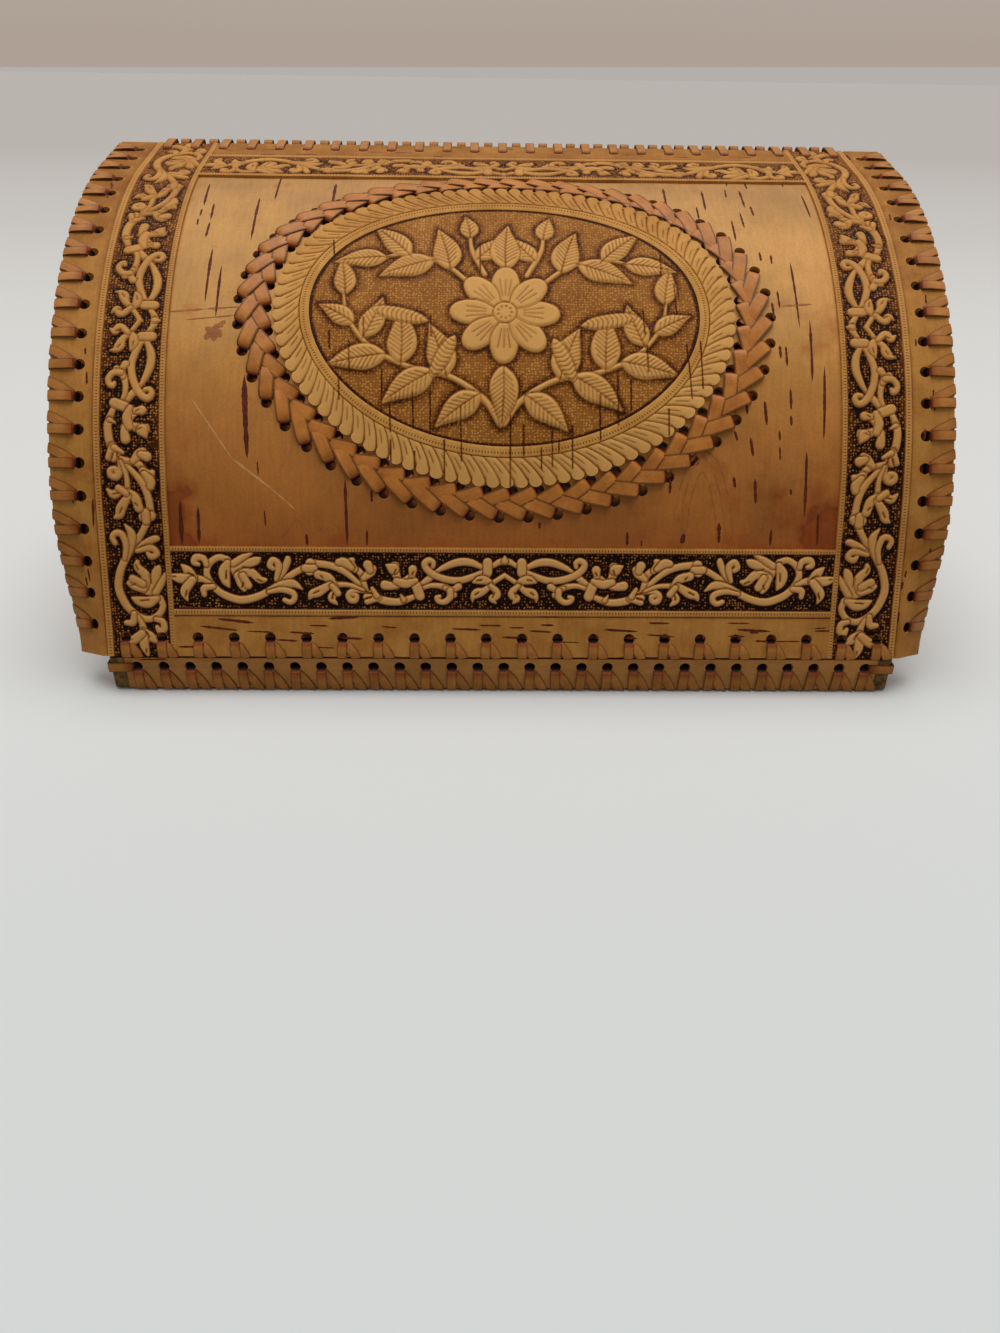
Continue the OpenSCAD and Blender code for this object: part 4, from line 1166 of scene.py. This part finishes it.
# %% Lenticels
PANEL_PORES = [
    (-135.1, 230.5, -134.6, 211, .9), (-135, 208.6, -135.1, 203.3, .9), (-135.6, 201.1, -135.4, 196.7, .8),
    (-130.3, 213, -130, 200.5, .9), (-130.1, 199.1, -130.6, 188.5, .9), (-110.5, 218.3, -110.8, 187.2, 1),
    (-103.5, 241, -103.6, 216.3, .8), (-77.6, 232.9, -77.4, 212.7, 1.3), (-126.7, 181.5, -127.2, 152.7, 1),
    (-121.8, 171.6, -122.2, 145.4, 1), (-109.1, 119.2, -107.7, 84.1, 1.9), (-136.4, 66.4, -136.5, 48, 1.6),
    (-129, 64.1, -129.3, 48.4, 1.2), (-84, 53, -83.8, 47.9, 1.1), (-67.2, 76.1, -66.8, 48, 1.1),
    (-103.6, 83.1, -103.3, 77.4, .6), (-101.3, 62.7, -101, 55.8, .6), (73.7, 231.7, 73.5, 213.9, 1),
    (91.3, 229.9, 91, 212, .9), (87.1, 214.8, 87.2, 204.8, .8), (102.5, 231.7, 102, 223.2, .7),
    (104.8, 241.5, 104, 234.8, .6), (113.1, 241.8, 113, 232, .8), (109, 230.4, 109.2, 214.7, .9),
    (111.9, 216.5, 112.3, 208, .9), (106.3, 210.6, 106.8, 199.1, .8), (101.7, 204.6, 101.9, 190, .9),
    (130.7, 243.3, 130.6, 234.9, .6), (137.2, 226.9, 137.9, 206.9, .8), (111.4, 183.1, 111.6, 177.7, .9),
    (116.2, 181.5, 116.1, 176.1, .9), (124.2, 177, 125.1, 142.6, .9), (116.9, 161.5, 117.3, 152.3, .8),
    (114.1, 155.4, 114.6, 146.8, .9), (129.6, 146.6, 129.4, 118.5, 1), (116.1, 134.6, 116.3, 128.6, .9),
    (118.6, 134.3, 118.9, 125.2, .9), (134.7, 125.4, 134, 94, 1), (120, 115.5, 120.2, 106.3, .9),
    (120.1, 103.9, 120.3, 99.5, .9), (108.9, 110, 109.9, 99.7, 1.1), (101.3, 108.5, 101.6, 104.3, .9),
    (96.3, 97.2, 97.5, 93.1, 1), (103, 94.6, 104.3, 86.5, 1.1), (115.2, 97.4, 115.5, 93.3, .8),
    (115.5, 90.8, 115.8, 84.9, .7), (126.9, 88.7, 127.3, 61.3, 1.1), (96.3, 78, 97.1, 73.4, 1.1),
    (105.4, 77.2, 106.1, 66.8, 1.2), (120.7, 73, 121.1, 70.6, .9), (133.1, 63.1, 133.7, 49.2, 1.1),
    (113.5, 55.9, 113.5, 49, 1.1), (91, 58.7, 91.5, 49.8, 1.4), (76.6, 53.9, 75.4, 49.7, 2),
    (69.6, 76.7, 69.5, 70.6, 1), (58.2, 51.1, 58.3, 48.4, .8), (-58.4, 54.8, -58.5, 48, .9),
    (-56.2, 71.7, -56.1, 66.4, .9), (14.6, 58.5, 14.7, 55.6, 1), (52, 54.7, 52.2, 48.6, 1.1)]
MARGIN_PORES = [
    (-123, 16.4, -107.7, 14.8, 1.1), (-131.1, 13.3, -114.7, 11.5, 1), (-92.9, 10.8, -81.7, 10.2, .8),
    (-98.4, 7.4, -88.8, 6.9, .8), (-71, 8.4, -60.9, 7.9, .9), (-119.3, 45.4, -104.1, 44.8, 1),
    (-139.1, 21.2, -125.4, 20.7, 1.1), (-75.6, 16.8, -62.8, 17.5, .9), (-172.1, 67.2, -172.7, 55.4, .8),
    (12.6, 18.4, 24, 18.2, 1), (43, 12.4, 58, 11.6, .9), (62, 10.2, 74, 9.4, .9), (101, 12.6, 116, 11.9, 1)]
TANNIN_LINES = [
    (-141.9, 147.7, -127, 149.3, 1), (-127, 149.3, -112.4, 150.5, .9), (-135, 144, -113.4, 146.4, .7),
    (117.5, 153.4, 131.8, 154.6, .9), (-125.9, 134.6, -123.9, 138.9, 2.2), (-122.6, 134.2, -121.9, 139.6, 2.4),
    (-119.6, 135.8, -120.6, 139.9, 1.8), (-126.4, 140.2, -122.9, 139.4, 2), (-120.9, 140.4, -118.1, 143.9, 2),
    (-122.4, 139.2, -121.2, 142.2, 2.2), (-95, 50.4, -87.9, 59.2, .7), (-87.9, 59.2, -81.5, 52.1, .7),
    (-81.5, 52.1, -73.7, 58.5, .6), (-73.7, 58.5, -67.6, 53.1, .6)]
FIGURE = [
    [(77.1, 49.2), (78, 66.1), (80.6, 76.5), (83, 80.6), (85.7, 75.7), (88.7, 64.1), (90.8, 49.3)],
    [(74.6, 49.2), (75.4, 68.1), (78.3, 80.6), (82.8, 86.8), (87.6, 81.5), (91.5, 68.2), (95.1, 49.3)],
    [(71.5, 59.8), (73.2, 71.5), (76.6, 82.6), (82.7, 90.5), (90, 84), (94.9, 68.3), (97.7, 49.3)]]
TANNIN_LINES += [(x0, s0, x1, s1, .6) for arch in FIGURE for (x0, s0), (x1, s1) in zip(arch[:-1], arch[1:])]
SCRATCH = [(-130.6, 108.8, -114.2, 84.2, .5), (-114.2, 84.2, -97.9, 71.6, .9), (-97.9, 71.6, -88.2, 63, .5)]
FINE = 1.55    # the marks' widths are in hairs, this many to a millimetre, from the middle to the edge

chance = np.random.default_rng(77)
for side in (-1, 1):
    for x, s in zip(chance.uniform(162, 183, 26), chance.uniform(10, 275, 26)):
        MARGIN_PORES.append((side * x, s, side * (x + 0.3), s + chance.uniform(2.5, 6), 0.8))
for x, s in zip(chance.uniform(-150, 140, 22), chance.uniform(3.5, 16.5, 22)):
    MARGIN_PORES.append((x, s, x + chance.uniform(4, 13), s + chance.uniform(-.5, .3), chance.uniform(.5, .9)))
for x, s in zip(chance.uniform(-140, 140, 14), chance.uniform(268, 284, 14)):
    MARGIN_PORES.append((x, s, x + chance.uniform(4, 11), s, 0.7))


def slivers(name, marks, height, place, material, body):
    """Each mark is a lens: sections of four points, pinched at both ends, with the crown 0.06 mm proud."""
    stations = 13
    t = np.linspace(0, 1, stations)
    lens = np.minimum(1, 5 * np.minimum(t, 1 - t) + 0.06) ** 0.7
    points = []
    for k, (x0, s0, x1, s1, wide) in enumerate(marks):
        ragged = 1 + 0.25 * np.random.default_rng(1000 + k).uniform(-1, 1, stations)
        x, s = x0 + (x1 - x0) * t, s0 + (s1 - s0) * t
        way = np.array([x1 - x0, s1 - s0]) / hypot(x1 - x0, s1 - s0)
        for side, proud in ((-1, -0.012), (0, 0.06), (1, -0.012), (0, -0.2)):
            px = x - side * way[1] * wide / FINE * lens * ragged
            py = s + side * way[0] * wide / FINE * lens * ragged
            points.append(np.stack([px, py, height(px, py) + proud], -1))
    flat = np.array(points).reshape(len(marks), 4, stations, 3).transpose(0, 2, 1, 3).reshape(-1, 3)
    i = np.arange(len(flat)).reshape(len(marks), stations, 4)
    nxt = np.roll(i, -1, 2)
    walls = np.stack([i[:, :-1], nxt[:, :-1], nxt[:, 1:], i[:, 1:]], -1).reshape(-1, 4)
    piece = new_object(name, place(*flat.T), np.concatenate([walls, i[:, 0][:, ::-1], i[:, -1]]))
    add_uv(piece, "flat", flat[:, :2])
    pick(piece)
    bpy.ops.object.mode_set(mode="EDIT")
    bpy.ops.mesh.select_all(action="SELECT")
    bpy.ops.mesh.normals_make_consistent(inside=False)
    bpy.ops.object.mode_set(mode="OBJECT")
    finish_piece(piece, material, body, angle=60)


slivers("lenticels_panel", PANEL_PORES, panel_height, on_panel, pore, "lid")
slivers("lenticels_borders", MARGIN_PORES, margin_height, lambda x, s, h: on_lid(x, s, -h), pore, "lid")
slivers("tannin_lines", TANNIN_LINES, panel_height, on_panel, tannin, "lid")
slivers("old_scratch", SCRATCH, panel_height, on_panel, scuffed, "lid")

# On the tray the marks are places on the walls: along and up
front_pores = [
    (49, 17.2, 85, 16.9, .8), (128, 16.6, 150, 16.5, .8), (-158, 15.4, -146, 15.6, .8), (-60, 16.7, -41, 16.9, .7)]
slivers("lenticels_wall", front_pores, no_height, lambda x, z, h: in_tray(x, FRONT_Y - h, z), pore, "tray")
back_pores = [(x, z, x + chance.uniform(5, 22), z + chance.uniform(-.4, .4), chance.uniform(.6, 1.2))
              for x, z in zip(chance.uniform(-155, 133, 46), chance.uniform(30, 178, 46))]
slivers("lenticels_back", back_pores, no_height, lambda x, z, h: in_tray(x, BACK_Y + h, z), pore, "tray")
for name, side in (("left", -1), ("right", 1)):
    spots = [(y, z) for y, z in zip(chance.uniform(-76, 70, 70), chance.uniform(28, 165, 70))
             if z < 22 + (y + 98) * 0.98]    # under the arch
    side_pores = [(y, z, y + chance.uniform(4, 14), z + chance.uniform(-.3, .3), chance.uniform(.6, 1.1))
                  for y, z in spots]
    slivers("lenticels_end_" + name, side_pores, no_height,
            lambda y, z, h: in_tray(side * (TRAY_W / 2 + h), y, z), pore, "tray")

# %% [markdown]
# ## The construction's own sheets
# The flat plies of the tray keep the construction's own solids and get bark.

# %% Bark for the tray
def dress(material, *names):
    for name in names:
        materials = NODES[name].data.materials
        materials.clear()
        materials.append(material)


dress(lining, "base_board", "floor_lining", "front_lining", "back_lining",
      "end_lining_left", "end_lining_right")
dress(white_bark, "sole")
dress(corner_bark, "corner_piece_left", "corner_piece_right")
dress(wall_bark_with_painted_light, "front_wall", "back_wall", "end_panel_left", "end_panel_right")

# %% [markdown]
# ## Room and light
# A pale floor, a far wall and one soft light from above, as from a bright ceiling. The floor is
# pale to the camera and darker to the light that it would throw back up at the chest, because
# the real table is wide and most of it lies in shade. Its colour is palest at the chest, a little darker
# towards the camera and darker far off: painted light and shade of the unevenly lit table.

# %% Room
def for_the_eye(owner):
    """1 for what the camera sees, also in a gloss or through something clear."""
    rays = add_node(owner, "LightPath").outputs
    mirrored = compute(owner, "MAXIMUM", rays["Is Glossy Ray"], rays["Is Transmission Ray"])
    return compute(owner, "MAXIMUM", rays["Is Camera Ray"], mirrored)


def paper(name, low, high, axis, stops, glow=False):
    """Its colour runs along one axis of the object, from low to high, in metres."""
    material = bpy.data.materials.new(name)
    material.use_nodes = True
    shader = material.node_tree.nodes["Principled BSDF"]
    shader.inputs["Roughness"].default_value = 0.9
    shader.inputs["Specular IOR Level"].default_value = 0.1
    along = map_range(material, axis_of(material, coordinates(material, "Object"), axis), low, high)
    seen_colour = ramp(material, along, stops)
    seen = for_the_eye(material)
    connect(material, blend(material, seen, colour("#8C8A88"), seen_colour), shader.inputs["Base Color"])
    if glow:
        even = add_node(material, "Emission", None, {0: seen_colour})
        both = add_node(material, "MixShader", None, {0: seen, 1: shader.outputs[0], 2: even.outputs[0]})
        connect(material, both.outputs[0], material.node_tree.nodes["Material Output"].inputs["Surface"])
    return material


def seen_at(px, py, y):
    """The point in the plane at that y that the camera sees at a pixel of the 1000 x 1333 frame."""
    ray = VIEW + RIGHT * (px - 500) / 1000 - UP * (py - 666.5) / 1000
    return EYE + ray * (y - EYE[1]) / ray[1]


def screen(name, corners, material):
    plane = new_object(name, corners, [[0, 1, 2, 3]])
    plane.data.materials.append(material)
    return plane


WALL_Y = 8.6
# Painted light and shade: palest at the chest, a little darker towards the camera, darker far off
floor_paper = paper("matt_floor_paper", -0.6, 2.4, 1, [
    (0.0, "#CED5D6"), (0.12, "#D6D9D8"), (0.2, "#DEDFDE"), (0.4, "#D6D5D2"), (0.6, "#C8C5C1"), (1.0, "#B9B4AF")])
floor = screen("floor", [(-9, -9, 0), (9, -9, 0), (9, 9.5, 0), (-9, 9.5, 0)], floor_paper)
wall_paper = paper("matt_wall_paper", 0.0, 0.6, 2, [(0.0, "#AEA094"), (0.45, "#AEA095"), (1.0, "#B0A59B")], glow=True)
low = [seen_at(px, 67, WALL_Y) for px in (-1500, 2500)]
far_wall = screen("far_wall", [low[0], low[1], low[1] + [0, 0, 6], low[0] + [0, 0, 6]], wall_paper)
# A second screen just behind closes the gap between the floor's end and the wall's lower edge
foot_y = WALL_Y + 0.02
foot_paper = paper("matt_floor_paper_far", 0.0, 1.0, 2, [(0.0, "#B4AFAA"), (1.0, "#B4AFAA")], glow=True)
foot = screen("far_wall_foot", [(x, foot_y, z) for x, z in ((-20, -0.1), (20, -0.1), (20, 1.2), (-20, 1.2))], foot_paper)
for lit_alone in (far_wall, foot):
    lit_alone.visible_shadow = lit_alone.visible_diffuse = False
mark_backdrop(floor, far_wall, foot)

sky = bpy.data.lights.new("ceiling", "SUN")
sky.energy, sky.angle = 2.15, radians(50)
ceiling = bpy.data.objects.new("ceiling", sky)
ceiling.rotation_euler = Vector((0.0, 0.16, 1)).to_track_quat("Z", "Y").to_euler()
bpy.context.scene.collection.objects.link(ceiling)

world = bpy.data.worlds.new("room")
bpy.context.scene.world = world
world.use_nodes = True
glow = world.node_tree.nodes["Background"]
glow.inputs[0].default_value = colour("#F4F1EC")
glow.inputs[1].default_value = 0.36
behind = add_node(world, "Background", None, {0: colour("#CBCBC8")})
either = add_node(world, "MixShader", None, {0: for_the_eye(world), 1: glow.outputs[0], 2: behind.outputs[0]})
connect(world, either.outputs[0], world.node_tree.nodes["World Output"].inputs["Surface"])
bpy.context.scene.view_settings.view_transform = "Standard"

# %% Finish
size = {"cad": [list(v) for v in cad_box], "visual": [list(v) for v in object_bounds()]}
print("grown by", [[round(b - a, 4) for a, b in zip(*pair)] for pair in zip(size["cad"], size["visual"])])
